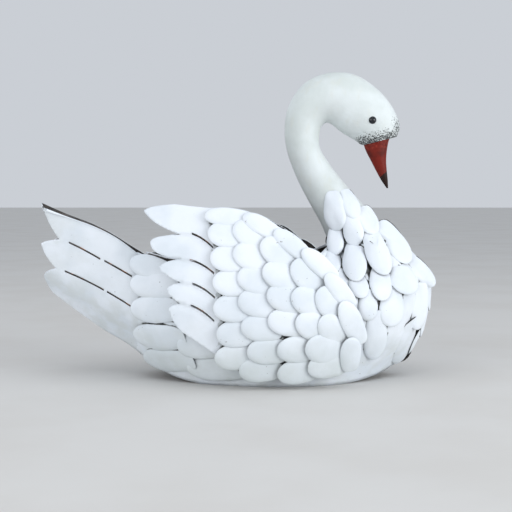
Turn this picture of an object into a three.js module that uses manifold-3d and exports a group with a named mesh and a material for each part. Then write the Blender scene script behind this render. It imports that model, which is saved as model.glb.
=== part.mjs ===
// A garden planter in the shape of a swan, cut and pressed from sheet steel, hung with rows of
// small oval plates, and painted white. Millimetres. +X is where the swan faces, +Z is up and
// -Y is its right side. The origin is on the floor, under the middle of its length and width.

import * as THREE from "three";
import { mergeVertices } from "three/addons/utils/BufferGeometryUtils.js";
import Module from "manifold-3d";

const wasm = await Module();
wasm.setup();

// ---------------------------------------------------------------- driving dimensions
const SHEET = 1.2; // thickness of every pressed sheet
const GAP = 0.3; // clearance between pieces that touch
const SEAM = GAP / 2; // each side's share of the gap on the middle plane
const ABOVE_ALL = 500; // a height over the whole swan

// Trunk: four rails on the right side, each from the stern to the bow, one point a station. The
// base stands flat on the floor amidships and rises a little towards both ends, as a boat's does.
const BASE_RAIL = [
  [-122, -6, 32], [-86, -38, 11], [-39, -65, 0], [26, -86, 0], [80, -86, 0],
  [112, -78, 0], [144, -60, 0.8], [177, -32, 6], [203, -SEAM, 14],
];
const WAIST_RAIL = [
  [-119.4, -46, 80], [-84, -74, 55], [-36, -97, 55], [26, -110, 58], [84, -110, 60],
  [120, -102, 60], [156, -86, 60], [202, -56, 60], [234, -SEAM, 60],
];
const SHOULDER_RAIL = [
  [-117, -58, 122], [-83, -84, 108], [-36, -104, 105], [26, -112, 105], [84, -109, 106],
  [122, -101, 110], [162, -83, 114], [212, -54, 120], [243, -SEAM, 123],
];
const RIM_RAIL = [
  [-115, -56, 158], [-82, -80, 147], [-36, -97, 142], [26, -106, 142], [80, -98, 144],
  [104, -60, 156], [124, -18, 166], [169, -44, 167], [219, -SEAM, 167],
];
const TRUNK_CELLS = [16, 7]; // along and up

// Bottom pan, lying between the two base rails.
const PAN_INSET = 2.4;
const PAN_ENDS = [0.02, 0.975]; // shares of the base rail
const PAN_CELLS = [14, 2];

// Tail: the same four rails carried on, each from the tip to the trunk.
const TAIL_RAILS = [
  [[-245, -0.6, 119], [-200, -1, 80], [-165, -2, 58.5], [-138, -4, 43], [-112, -9, 26]],
  [[-245, -28, 144], [-200, -32, 115], [-165, -36, 99], [-138, -43, 88], [-112, -52, 77]],
  [[-245, -45, 184], [-200, -46, 162], [-165, -49, 146], [-138, -54, 133], [-112, -60, 119]],
];
const TAIL_TOP = {
  right: [[-245, -65, 219], [-200, -57, 201], [-165, -55, 188], [-138, -56, 174], [-112, -58, 155]],
  left: [[-271, -66, 219.5], [-222, -60, 203], [-180, -56, 190.5], [-151, -54.5, 177], [-112, -58, 151]],
};
const TAIL_JOINT = [[-122.6, 30], [-115.4, 160]]; // x and z of its edge beside the trunk
const TAIL_CELLS = [5, 6];
const TAIL_CLEAR = { joint: 190, tip: 240, keel: 20 }; // heights that the sheet's edges don't reach
const TAIL_TOP_TIP = { right: [-226, 211], left: [-252, 213] }; // x and z
const TAIL_TIPS = [[-233, 167], [-234, 126]]; // the two lower tips, from the top
const TAIL_NOTCHES = [[-210, 173], [-216, 137]];
const TAIL_HEEL = [-226, 104]; // where the lowest feather meets the keel
const TAIL_SLOTS = [
  [-198, 169, -160, 149], [-155, 147, -128, 133],
  [-203, 134, -157, 111], [-152, 108, -130, 96],
];

// Being hand bent, the left side sits a little lower towards the stern: x, and by what share of
// its height. Near the middle plane it meets the right side.
const LEFT_DROP = [
  [-250, -0.01], [-140, 0.04], [-115, 0.034], [-60, 0.028], [30, 0.028], [65, 0.008], [100, 0],
];
const LEFT_DROP_FROM = 40; // distance from the middle plane where the drop is full

// Wing: a shallow pressed dish, widest a little behind the middle of the trunk.
const WING_PEAK = { x: 46, y: -127, z: 110 };
const WING_FALL = { front: 46, rear: 25, high: 33, low: 33 }; // fall over 150 mm and 115 mm
const WING_SPAN = { x: 150, z: 115 };
const WING_TIPS = [[-104, 208], [-95, 173], [-84, 143], [-75, 118], [-73, 95]];
const WING_NOTCHES = [[-60, 181], [-59, 153], [-58, 126], [-59, 102]];
const WING_TOP = [[-68, 216], [-29, 212], [-2, 212], [24, 206], [76, 175], [124, 116], [148, 64]];
const WING_FOOT = [[149, 32], [141, 21], [118, 15], [88, 10], [62, 11], [10, 20], [-20, 43], [-57, 68]];
const WING_SLOTS = [
  [-46, 182, -21, 166], [-48, 152, -20, 137], [-45, 125, -19, 109], [-47, 100, -20, 82],
];
const WING_BLANK = { x: [-110, 160], z: [0, 230] }; // what the wing is cut from
const WING_CELLS = [8, 7];
const SLOT_WIDTH = 2.6;
const SLOT_BOW = 2.5; // how far a slot bows upwards in its middle
const FEATHER_TOP = { back: 0.1, up: 0.75 }; // how full a feather's upper edge is near its tip
const FEATHER_FOOT = { back: 0.22, down: 0.58 }; // and its lower edge

// Oval plates, set in rows with their roots welded down and their tips standing off.
const PLATE = {
  length: 46, width: 27.5, flare: 0.12, thick: 1, sink: 0.7, slope: 0.115, dome: 1.6, sides: 8,
};
const PLATE_GRIP = 0.6; // share of a plate's length from its root to the middle of what shows

// Columns of wing plates: count, x and z of the top and bottom one, and how far each tip is
// turned up from straight back, in degrees.
const WING_COLUMNS = [
  { count: 6, top: [-13, 180], foot: [-1, 42], turn: [8, -4] },
  { count: 7, top: [18, 184], foot: [32, 25], turn: [22, -6] },
  { count: 6, top: [52, 163], foot: [71, 24], turn: [32, -4] },
  { count: 5, top: [86, 135], foot: [108, 29], turn: [38, -6] },
  { count: 2, top: [111, 104], foot: [116, 74], turn: [50, 48] },
];
const WING_BORDER = {
  count: 7, line: [[-9, 201], [63, 172], [122, 120], [137, 48]], turn: [5, 100],
};

// Rows of trunk plates: share of the height, the shares of the way from stern to bow, and how
// steeply the plates stand off.
const BREAST_ROWS = [
  { height: 0.86, along: [0.7, 0.79, 0.87, 0.95], slope: 0.12 },
  { height: 0.66, along: [0.72, 0.8, 0.88, 0.955], slope: 0.31 },
  { height: 0.44, along: [0.78, 0.865, 0.95], slope: 0.14 },
  { height: 0.22, along: [0.79, 0.9], slope: 0.1 },
];
const FLANK_COLUMNS = [
  { along: 0.055, heights: [0.92, 0.69, 0.46, 0.24, 0.06], turn: 4 },
  { along: 0.24, heights: [0.34, 0.1], turn: 4 },
];

// Neck and head: cross-sections, each from a rear point to a front point, x and z, and the
// half-width between them.
const NECK_JOINT = 167.6; // height of the neck's flat foot on the trunk
const NECK_SECTIONS = [
  { rear: [119, NECK_JOINT], front: [219, NECK_JOINT], half: 44 },
  { rear: [116, 177], front: [193, 184], half: 36 },
  { rear: [109, 191], front: [160, 216], half: 28 },
  { rear: [95, 216], front: [135, 245], half: 24 },
  { rear: [80, 245], front: [119.5, 265], half: 22.5 },
  { rear: [66.8, 280], front: [107.6, 285], half: 22 },
  { rear: [63.5, 306], front: [107, 303], half: 22 },
  { rear: [68.3, 336], front: [109.8, 311.3], half: 22.5 },
  { rear: [87.5, 364.2], front: [115, 315.6], half: 23.5 },
];
const HEAD_SECTIONS = [
  { rear: [87.8, 364.5], front: [115.3, 315.8], half: 23.5 },
  { rear: [116, 377], front: [121, 314.4], half: 25.5 },
  { rear: [148, 375.8], front: [132.5, 305.4], half: 27 },
  { rear: [177, 358.5], front: [145, 297.6], half: 27 },
  { rear: [197.5, 334.5], front: [153, 292.9], half: 25.5 },
  { rear: [206.6, 311], front: [159, 288.6], half: 22 },
  { rear: [203, 298.5], front: [165, 288.5], half: 16 },
];
const BILL_SECTIONS = [
  { rear: [193.6, 294.8], front: [162.6, 286.8], half: 11.5 },
  { rear: [191.2, 283], front: [165, 280.5], half: 10.5 },
  { rear: [190.2, 269.5], front: [171.5, 268], half: 8.5 },
  { rear: [191, 257], front: [178, 255.5], half: 6.2 },
  { rear: [192.3, 245], front: [184.5, 244], half: 3.6 },
  { rear: [192.9, 234], front: [191.2, 234.2], half: 1 },
];
const NECK_SIDES = 14;
const STEPS = { neck: 12, head: 10, bill: 6 };
const NECK_RINGS = [
  { height: 0.27, sides: [50, 105] }, // share of the way up, degrees round from the front
  { height: 0.17, sides: [35, 85, 140] },
];
const EYE = { x: 170.1, z: 317.7, radius: 4.8, proud: 2.4, sides: 8, rings: 6 };

// Folded straps that carry each wing off the trunk's side, hidden behind the plates.
const STRAPS = [{ x: 14, z: 104 }, { x: 72, z: 104 }];
const STRAP = { width: 15, height: 16, thick: 1.5 };
const STRAP_CLEAR = 0.4; // between each end of a strap and the sheet that it is welded to
const BETWEEN = 121; // a distance from the middle plane that lies between trunk and wing

// ---------------------------------------------------------------- materials
const paint = (color, roughness) => new THREE.MeshStandardMaterial({ color, roughness, metalness: 0 });
const white = () => paint(0xe9edf0, 0.55);
const red = () => paint(0x7a1f17, 0.5);
const black = () => paint(0x0a0b0c, 0.12);
const steel = () => new THREE.MeshStandardMaterial({ color: 0x5a5550, roughness: 0.6, metalness: 0.8 });

// ---------------------------------------------------------------- solids and booleans
function solidOf(geometry) {
  const bare = geometry.clone();
  bare.deleteAttribute("normal");
  bare.deleteAttribute("uv");
  const merged = mergeVertices(bare, 1e-4);
  return new wasm.Manifold(
    new wasm.Mesh({
      numProp: 3,
      vertProperties: new Float32Array(merged.attributes.position.array),
      triVerts: new Uint32Array(merged.index.array),
    }),
  );
}

function geometryOf(solid) {
  const mesh = solid.getMesh();
  const geometry = new THREE.BufferGeometry();
  geometry.setAttribute("position", new THREE.BufferAttribute(mesh.vertProperties, 3));
  geometry.setIndex(new THREE.BufferAttribute(mesh.triVerts, 1));
  geometry.computeVertexNormals();
  return geometry;
}

// Everything more than half a seam to the right of the middle plane, and below a height.
function rightOnly(solid, below = ABOVE_ALL) {
  const REACH = 1000;
  const block = new THREE.BoxGeometry(REACH, REACH, REACH);
  block.translate(0, -REACH / 2 - SEAM, below - REACH / 2);
  return solid.intersect(solidOf(block));
}

// The outer skin of the largest body: pockets closed in by overlapping plates become solid.
function wholeBody(solid) {
  return solid.decompose().reduce((best, body) => (body.volume() > best.volume() ? body : best));
}

// ---------------------------------------------------------------- curved sheets
const railOf = (points) => new THREE.CatmullRomCurve3(points.map((p) => new THREE.Vector3(...p)));

// A point on a curve; beyond either end the curve runs straight on.
function pointOn(curve, share) {
  const NEAR = 0.01;
  const end = THREE.MathUtils.clamp(share, 0, 1);
  const point = curve.getPoint(end);
  if (share === end) return point;
  const inner = curve.getPoint(end === 0 ? NEAR : 1 - NEAR);
  return point.lerp(inner, -Math.abs(share - end) / NEAR);
}

// A surface that passes through a few rails, u along them and v across them. It never dips
// below the floor.
function railSurface(railPoints) {
  const rails = railPoints.map(railOf);
  return (u, v) => {
    const rib = new THREE.CatmullRomCurve3(rails.map((rail) => pointOn(rail, u)));
    const point = pointOn(rib, v);
    point.z = Math.max(point.z, 0);
    return point;
  };
}

// The wing's dish, u and v being x and z in millimetres.
function wingSurface(x, z) {
  const along = (x - WING_PEAK.x) / WING_SPAN.x;
  const up = (z - WING_PEAK.z) / WING_SPAN.z;
  const fall =
    (along > 0 ? WING_FALL.front : WING_FALL.rear) * along * along +
    (up > 0 ? WING_FALL.high : WING_FALL.low) * up * up;
  return new THREE.Vector3(x, WING_PEAK.y + fall, z);
}

// Point, steps along u and v, and outward normal of a surface.
function frameOn(surface, u, v, step) {
  const point = surface(u, v);
  const alongU = surface(u + step, v).sub(surface(u - step, v)).divideScalar(2 * step);
  const alongV = surface(u, v + step).sub(surface(u, v - step)).divideScalar(2 * step);
  const normal = alongU.clone().cross(alongV).normalize();
  return { point, alongU, alongV, normal };
}

// A sheet over part of a surface, from one distance to another along its outward normal.
function sheetOver(surface, { u, v, from, to, cells, step }) {
  const geometry = new THREE.BoxGeometry(1, 1, 1, cells[0], cells[1], 1);
  const place = geometry.attributes.position;
  for (let i = 0; i < place.count; i++) {
    const atU = THREE.MathUtils.lerp(u[0], u[1], place.getX(i) + 0.5);
    const atV = THREE.MathUtils.lerp(v[0], v[1], place.getY(i) + 0.5);
    const { point, normal } = frameOn(surface, atU, atV, step);
    const depth = THREE.MathUtils.lerp(from, to, place.getZ(i) + 0.5);
    point.addScaledVector(normal, depth);
    place.setXYZ(i, point.x, point.y, point.z);
  }
  return geometry;
}

// A cutter: an outline drawn in x and z, carried across the whole width.
function prismOf(outline) {
  const REACH = 400;
  const geometry = new THREE.ExtrudeGeometry(outline, {
    depth: REACH, bevelEnabled: false, curveSegments: 3,
  });
  geometry.translate(0, 0, -REACH / 2);
  geometry.rotateX(Math.PI / 2); // the outline's y becomes z
  return solidOf(geometry);
}

// A narrow bowed slot from one end to the other.
function slotOutline([x0, z0, x1, z1]) {
  const pullX = (x0 + x1) / 2;
  const pullZ = (z0 + z1) / 2 + 2 * SLOT_BOW; // a curve goes half of the way to its pull
  const half = SLOT_WIDTH / 2;
  const outline = new THREE.Shape();
  outline.moveTo(x0, z0 - half);
  outline.quadraticCurveTo(pullX, pullZ - half, x1, z1 - half);
  outline.lineTo(x1, z1 + half);
  outline.quadraticCurveTo(pullX, pullZ + half, x0, z0 + half);
  outline.closePath();
  return outline;
}

// The two edges of a feather: out of a notch to its tip, and from its tip into the next notch.
function featherTop(outline, [tipX, tipZ]) {
  const start = outline.currentPoint.clone();
  const pullX = THREE.MathUtils.lerp(tipX, start.x, FEATHER_TOP.back);
  outline.quadraticCurveTo(pullX, THREE.MathUtils.lerp(tipZ, start.y, FEATHER_TOP.up), tipX, tipZ);
}

function featherFoot(outline, [tipX, tipZ], [endX, endZ]) {
  const pullX = THREE.MathUtils.lerp(tipX, endX, FEATHER_FOOT.back);
  outline.quadraticCurveTo(pullX, THREE.MathUtils.lerp(tipZ, endZ, FEATHER_FOOT.down), endX, endZ);
}

// ---------------------------------------------------------------- oval plates
// A domed oval plate lying on a surface, its tip turned by heading from the u direction.
function plateOn(surface, u, v, heading, step, size = PLATE) {
  const blank = new THREE.CylinderGeometry(1, 1, 1, size.sides, 1);
  const root = frameOn(surface, u, v, step);
  const perU = 1 / root.alongU.length();
  const perV = 1 / root.alongV.length();
  const place = blank.attributes.position;
  for (let i = 0; i < place.count; i++) {
    const side = place.getX(i);
    const reach = place.getZ(i);
    const along = (size.length * (1 + reach)) / 2;
    const shift = along - size.length * PLATE_GRIP;
    const across = ((size.width * side) / 2) * (1 + size.flare * reach);
    const dome = size.dome * (1 - side * side - reach * reach);
    const lift = size.slope * along - size.sink + dome + size.thick * (place.getY(i) + 0.5);
    const atU = u + (shift * Math.cos(heading) - across * Math.sin(heading)) * perU;
    const atV = v + (shift * Math.sin(heading) + across * Math.cos(heading)) * perV;
    const { point, normal } = frameOn(surface, atU, atV, step);
    point.addScaledVector(normal, lift);
    place.setXYZ(i, point.x, point.y, point.z);
  }
  return solidOf(blank);
}

const backwards = (turn) => THREE.MathUtils.degToRad(180 - turn);
const DOWN = THREE.MathUtils.degToRad(-90);
const MILLIMETRE = 0.5; // step for surfaces whose u and v are lengths
const SHARE = 0.002; // step for surfaces whose u and v are shares

// ---------------------------------------------------------------- trunk
const trunkSurface = railSurface([BASE_RAIL, WAIST_RAIL, SHOULDER_RAIL, RIM_RAIL]);

function trunkHalf() {
  const shell = sheetOver(trunkSurface, {
    u: [0, 1], v: [0, 1], from: -SHEET, to: 0, cells: TRUNK_CELLS, step: SHARE,
  });
  let body = solidOf(shell);
  for (const { height, along, slope } of BREAST_ROWS)
    for (const u of along)
      body = body.add(plateOn(trunkSurface, u, height, DOWN, SHARE, { ...PLATE, slope }));
  for (const { along, heights, turn } of FLANK_COLUMNS)
    for (const v of heights)
      body = body.add(plateOn(trunkSurface, along, v, backwards(turn), SHARE));
  return geometryOf(wholeBody(rightOnly(body, NECK_JOINT - GAP)));
}

function bottomPan() {
  const rail = railOf(BASE_RAIL);
  const surface = (u, v) => {
    const edge = pointOn(rail, u);
    return new THREE.Vector3(edge.x, (edge.y + PAN_INSET) * (1 - 2 * v), Math.max(edge.z, 0));
  };
  return sheetOver(surface, {
    u: PAN_ENDS, v: [0, 1], from: 0, to: SHEET, cells: PAN_CELLS, step: SHARE,
  });
}

// ---------------------------------------------------------------- tail
// One side of the tail. Its top edge may reach further back than its keel does.
function tailHalf(topRail, topTip) {
  const surface = railSurface([...TAIL_RAILS, topRail]);
  const sheet = sheetOver(surface, {
    u: [0, 1], v: [0, 1], from: -SHEET, to: 0, cells: TAIL_CELLS, step: SHARE,
  });
  const tips = [topTip, ...TAIL_TIPS];
  const ends = [...TAIL_NOTCHES, TAIL_HEEL];
  const outline = new THREE.Shape();
  outline.moveTo(...TAIL_JOINT[0]);
  outline.lineTo(...TAIL_JOINT[1]);
  outline.lineTo(TAIL_JOINT[1][0], TAIL_CLEAR.joint);
  outline.lineTo(tips[0][0], TAIL_CLEAR.tip);
  outline.lineTo(...tips[0]);
  tips.forEach((tip, row) => {
    if (row > 0) featherTop(outline, tip);
    featherFoot(outline, tip, ends[row]);
  });
  outline.lineTo(TAIL_JOINT[0][0], TAIL_CLEAR.keel);
  let body = solidOf(sheet).intersect(prismOf(outline));
  for (const slot of TAIL_SLOTS) body = body.subtract(prismOf(slotOutline(slot)));
  return geometryOf(wholeBody(rightOnly(body)));
}

// ---------------------------------------------------------------- wing
function wingOutline() {
  const outline = new THREE.Shape();
  const ends = [...WING_NOTCHES, WING_FOOT.at(-1)];
  outline.moveTo(...WING_TOP[0]);
  WING_TIPS.forEach((tip, row) => {
    featherTop(outline, tip);
    featherFoot(outline, tip, ends[row]);
  });
  outline.splineThru(WING_FOOT.slice(0, -1).reverse().map((p) => new THREE.Vector2(...p)));
  outline.splineThru(WING_TOP.slice(1).reverse().map((p) => new THREE.Vector2(...p)));
  return outline;
}

function wing() {
  const sheet = sheetOver(wingSurface, {
    u: WING_BLANK.x, v: WING_BLANK.z, from: -SHEET, to: 0, cells: WING_CELLS, step: MILLIMETRE,
  });
  let body = solidOf(sheet).intersect(prismOf(wingOutline()));
  for (const slot of WING_SLOTS) body = body.subtract(prismOf(slotOutline(slot)));
  for (const { count, top, foot, turn } of WING_COLUMNS)
    for (let i = 0; i < count; i++) {
      const share = i / (count - 1);
      const x = THREE.MathUtils.lerp(top[0], foot[0], share);
      const z = THREE.MathUtils.lerp(top[1], foot[1], share);
      const heading = backwards(THREE.MathUtils.lerp(turn[0], turn[1], share));
      body = body.add(plateOn(wingSurface, x, z, heading, MILLIMETRE));
    }
  const border = new THREE.SplineCurve(WING_BORDER.line.map((p) => new THREE.Vector2(...p)));
  for (let i = 0; i < WING_BORDER.count; i++) {
    const share = i / (WING_BORDER.count - 1);
    const { x, y: z } = border.getPointAt(share);
    const heading = backwards(THREE.MathUtils.lerp(...WING_BORDER.turn, share));
    body = body.add(plateOn(wingSurface, x, z, heading, MILLIMETRE));
  }
  return geometryOf(wholeBody(body));
}

// ---------------------------------------------------------------- neck, head and bill
// A surface through oval sections: u is the share of the way up, v the share of a turn from
// the front, towards the right side.
function ovalSurface(sections) {
  const rear = railOf(sections.map(({ rear: [x, z], half }) => [x, half, z]));
  const front = railOf(sections.map(({ front: [x, z] }) => [x, 0, z]));
  return (u, v) => {
    const back = pointOn(rear, u);
    const ahead = pointOn(front, u);
    const angle = 2 * Math.PI * v;
    const nearFront = (1 + Math.cos(angle)) / 2;
    return new THREE.Vector3(
      THREE.MathUtils.lerp(back.x, ahead.x, nearFront),
      -back.y * Math.sin(angle),
      THREE.MathUtils.lerp(back.z, ahead.z, nearFront),
    );
  };
}

function ovalBar(sections, steps) {
  const surface = ovalSurface(sections);
  const geometry = new THREE.CylinderGeometry(1, 1, 1, NECK_SIDES, steps);
  const place = geometry.attributes.position;
  for (let i = 0; i < place.count; i++) {
    const x = place.getX(i);
    const z = place.getZ(i);
    const onAxis = Math.hypot(x, z) < 0.5;
    const u = place.getY(i) + 0.5;
    const turn = Math.atan2(z, x) / (2 * Math.PI);
    const point = onAxis
      ? surface(u, 0).add(surface(u, 0.5)).multiplyScalar(0.5)
      : surface(u, turn);
    place.setXYZ(i, point.x, point.y, point.z);
  }
  return geometry;
}

function neck() {
  const surface = ovalSurface(NECK_SECTIONS);
  let body = solidOf(ovalBar(NECK_SECTIONS, STEPS.neck));
  for (const { height, sides } of NECK_RINGS)
    for (const side of sides)
      for (const v of [side / 360, 1 - side / 360])
        body = body.add(plateOn(surface, height, v, Math.PI, SHARE));
  return geometryOf(wholeBody(body));
}

// Distance from the middle plane at which a ray across the width first meets a piece's right
// side. The ray starts that far out and runs outwards for 1 or inwards for -1.
function sideOf(geometry, x, z, start, way) {
  const from = new THREE.Vector3(x, -start, z);
  const ray = new THREE.Raycaster(from, new THREE.Vector3(0, -way, 0));
  const skin = new THREE.Mesh(geometry, new THREE.MeshBasicMaterial({ side: THREE.DoubleSide }));
  return -ray.intersectObject(skin)[0].point.y;
}

const headBar = ovalBar(HEAD_SECTIONS, STEPS.head);
const eyeSeat = sideOf(headBar, EYE.x, EYE.z, 0, 1) - EYE.radius + EYE.proud;

function eyeBall(side, radius) {
  const ball = new THREE.SphereGeometry(radius, EYE.sides, EYE.rings);
  ball.translate(EYE.x, -side * eyeSeat, EYE.z);
  return ball;
}

// The head has a round socket on each side for a bead eye.
function head() {
  let body = solidOf(headBar);
  for (const side of [1, -1]) body = body.subtract(solidOf(eyeBall(side, EYE.radius + GAP)));
  return geometryOf(wholeBody(body));
}

// ---------------------------------------------------------------- wing straps
// A folded channel from the trunk's side to the inside of the wing.
function strap(trunk, wingSheet, { x, z }) {
  const { width, height, thick } = STRAP;
  const corners = [[-1, -1], [-1, 1], [0, 0], [1, -1], [1, 1]];
  const reach = (sheet, way) =>
    corners.map(([a, b]) => sideOf(sheet, x + (a * width) / 2, z + (b * height) / 2, BETWEEN, way));
  const near = Math.max(...reach(trunk, -1)) + STRAP_CLEAR;
  const far = Math.min(...reach(wingSheet, 1)) - STRAP_CLEAR;
  const outline = new THREE.Shape();
  outline.moveTo(-width / 2, far);
  outline.lineTo(-width / 2, near);
  outline.lineTo(width / 2, near);
  outline.lineTo(width / 2, far);
  outline.lineTo(width / 2 - thick, far);
  outline.lineTo(width / 2 - thick, near + thick);
  outline.lineTo(-width / 2 + thick, near + thick);
  outline.lineTo(-width / 2 + thick, far);
  outline.closePath();
  const channel = new THREE.ExtrudeGeometry(outline, { depth: height, bevelEnabled: false });
  channel.translate(x, 0, z - height / 2);
  return channel;
}

// ---------------------------------------------------------------- assembly
const swan = new THREE.Group();
swan.name = "garden_swan";

function addPiece(name, geometry, material, mirrored = false) {
  const mesh = new THREE.Mesh(geometry, material);
  mesh.name = name;
  if (mirrored) mesh.scale.y = -1;
  swan.add(mesh);
}

// The share by which the left side is lower at x.
function leftDrop(x) {
  const next = LEFT_DROP.findIndex(([at]) => x < at);
  if (next < 0) return LEFT_DROP.at(-1)[1];
  if (next === 0) return LEFT_DROP[0][1];
  const [x0, share0] = LEFT_DROP[next - 1];
  const [x1, share1] = LEFT_DROP[next];
  return THREE.MathUtils.mapLinear(x, x0, x1, share0, share1);
}

// A right-hand shape let down towards the stern, ready to be mirrored to the left side.
function letDown(geometry) {
  const lowered = geometry.clone();
  const place = lowered.attributes.position;
  for (let i = 0; i < place.count; i++) {
    const full = THREE.MathUtils.smoothstep(Math.abs(place.getY(i)), 0, LEFT_DROP_FROM);
    place.setZ(i, place.getZ(i) * (1 - leftDrop(place.getX(i)) * full));
  }
  return lowered;
}

const trunk = trunkHalf();
const leftTrunk = letDown(trunk);
const wingSheet = wing();
const leftWing = letDown(wingSheet);
addPiece("trunk_right", trunk, white());
addPiece("trunk_left", leftTrunk, white(), true);
addPiece("bottom_pan", bottomPan(), white());
addPiece("tail_right", tailHalf(TAIL_TOP.right, TAIL_TOP_TIP.right), white());
addPiece("tail_left", letDown(tailHalf(TAIL_TOP.left, TAIL_TOP_TIP.left)), white(), true);
addPiece("wing_right", wingSheet, white());
addPiece("wing_left", leftWing, white(), true);
STRAPS.forEach((place, i) => {
  addPiece(`wing_strap_right_${i + 1}`, strap(trunk, wingSheet, place), steel(), true);
  addPiece(`wing_strap_left_${i + 1}`, strap(leftTrunk, leftWing, place), steel());
});
addPiece("neck", neck(), white());
addPiece("head", head(), white());
addPiece("eye_right", eyeBall(1, EYE.radius), black());
addPiece("eye_left", eyeBall(-1, EYE.radius), black());
addPiece("bill", ovalBar(BILL_SECTIONS, STEPS.bill), red());

export default swan;
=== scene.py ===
# %% [markdown]
# # A garden swan of painted sheet metal
# This lesson dresses a bare frame of solids as a hand-made garden planter: a swan whose skin is
# thin steel, bent over forms, hung with small oval plates for feathers, and brushed white. The
# frame gives the size and the place of every part. All that is modelled here lies on it.

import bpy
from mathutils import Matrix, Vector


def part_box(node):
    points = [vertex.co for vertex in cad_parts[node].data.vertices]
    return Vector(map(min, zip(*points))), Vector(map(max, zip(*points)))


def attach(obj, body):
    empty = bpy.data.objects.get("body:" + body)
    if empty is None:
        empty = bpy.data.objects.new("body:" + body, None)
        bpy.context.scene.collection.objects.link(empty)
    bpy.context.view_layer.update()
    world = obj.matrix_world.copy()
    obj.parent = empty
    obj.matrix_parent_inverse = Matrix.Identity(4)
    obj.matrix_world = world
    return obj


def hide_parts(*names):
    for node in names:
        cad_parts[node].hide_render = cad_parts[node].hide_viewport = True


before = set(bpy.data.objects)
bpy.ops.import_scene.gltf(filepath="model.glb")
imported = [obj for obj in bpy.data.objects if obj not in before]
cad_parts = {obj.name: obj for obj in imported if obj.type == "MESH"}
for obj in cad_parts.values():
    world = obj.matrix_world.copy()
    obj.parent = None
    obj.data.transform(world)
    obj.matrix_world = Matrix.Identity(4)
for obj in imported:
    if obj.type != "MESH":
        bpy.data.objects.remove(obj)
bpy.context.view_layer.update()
print("solids in the frame:", len(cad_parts))

# %% [markdown]
# ## Tools for the bench
# The drawings of this swan are in millimetres and Blender works in metres, so one factor turns
# the first into the second. Every operator works on whatever is selected, so a helper first
# clears the selection and then picks the piece in hand. Another adds a modifier and applies it
# at once, as one does when the next step needs its result.

# %% Units and helpers
import math
import random

import bpy
from mathutils import Vector
from mathutils.bvhtree import BVHTree

MM = 0.001
chance = random.Random(7)  # the small differences of hand work, the same on every run


def pick(*pieces):
    """Only these pieces are selected, and the first of them is active."""
    if bpy.context.mode != "OBJECT":
        bpy.ops.object.mode_set(mode="OBJECT")
    bpy.ops.object.select_all(action="DESELECT")
    for piece in pieces:
        piece.select_set(True)
    if pieces:
        bpy.context.view_layer.objects.active = pieces[0]


def treat(piece, kind, **settings):
    """Gives a piece a modifier and applies it."""
    pick(piece)
    bpy.ops.object.modifier_add(type=kind)
    modifier = piece.modifiers[-1]
    for name, value in settings.items():
        setattr(modifier, name, value)
    bpy.ops.object.modifier_apply(modifier=modifier.name)


def edit_all(piece):
    """Opens a piece in edit mode with everything selected."""
    pick(piece)
    bpy.ops.object.mode_set(mode="EDIT")
    bpy.ops.mesh.select_all(action="SELECT")


def named(name):
    """The piece that was just added, under its own name."""
    piece = bpy.context.object
    piece.name = name
    piece.data.name = name
    return piece


pick()

# %% [markdown]
# ## Shader maths as expressions
# A finish such as worn paint is a small calculation at every point of the surface: how far from
# the edge, how much dirt, which of two colours. In the node editor each step is a box and a
# wire. The two classes here let the same steps be written as sums, and they add the boxes and
# wires themselves. A mask is a number from 0 to 1, and `1 - mask` is its opposite.

# %% Values and finishes
class Value:
    """A number on the surface. Sums and products of values add Math nodes."""

    def __init__(self, finish, socket):
        self.finish = finish
        self.socket = socket

    def math(self, operation, first, second):
        return self.finish.node("ShaderNodeMath", {"operation": operation}, {0: first, 1: second})

    def __add__(self, other):
        return self.math("ADD", self, other)

    def __sub__(self, other):
        return self.math("SUBTRACT", self, other)

    def __rsub__(self, other):
        return self.math("SUBTRACT", other, self)

    def __mul__(self, other):
        return self.math("MULTIPLY", self, other)

    def larger(self, other):
        return self.math("MAXIMUM", self, other)

    def ramp(self, low, high):
        """0 below low, 1 above high, and smooth between them. low may be the larger."""
        flip = low > high
        inputs = {"Value": self, "From Min": min(low, high), "From Max": max(low, high)}
        rise = self.finish.node("ShaderNodeMapRange", {"interpolation_type": "SMOOTHSTEP"}, inputs)
        return 1 - rise if flip else rise

    __radd__ = __add__
    __rmul__ = __mul__


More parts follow.
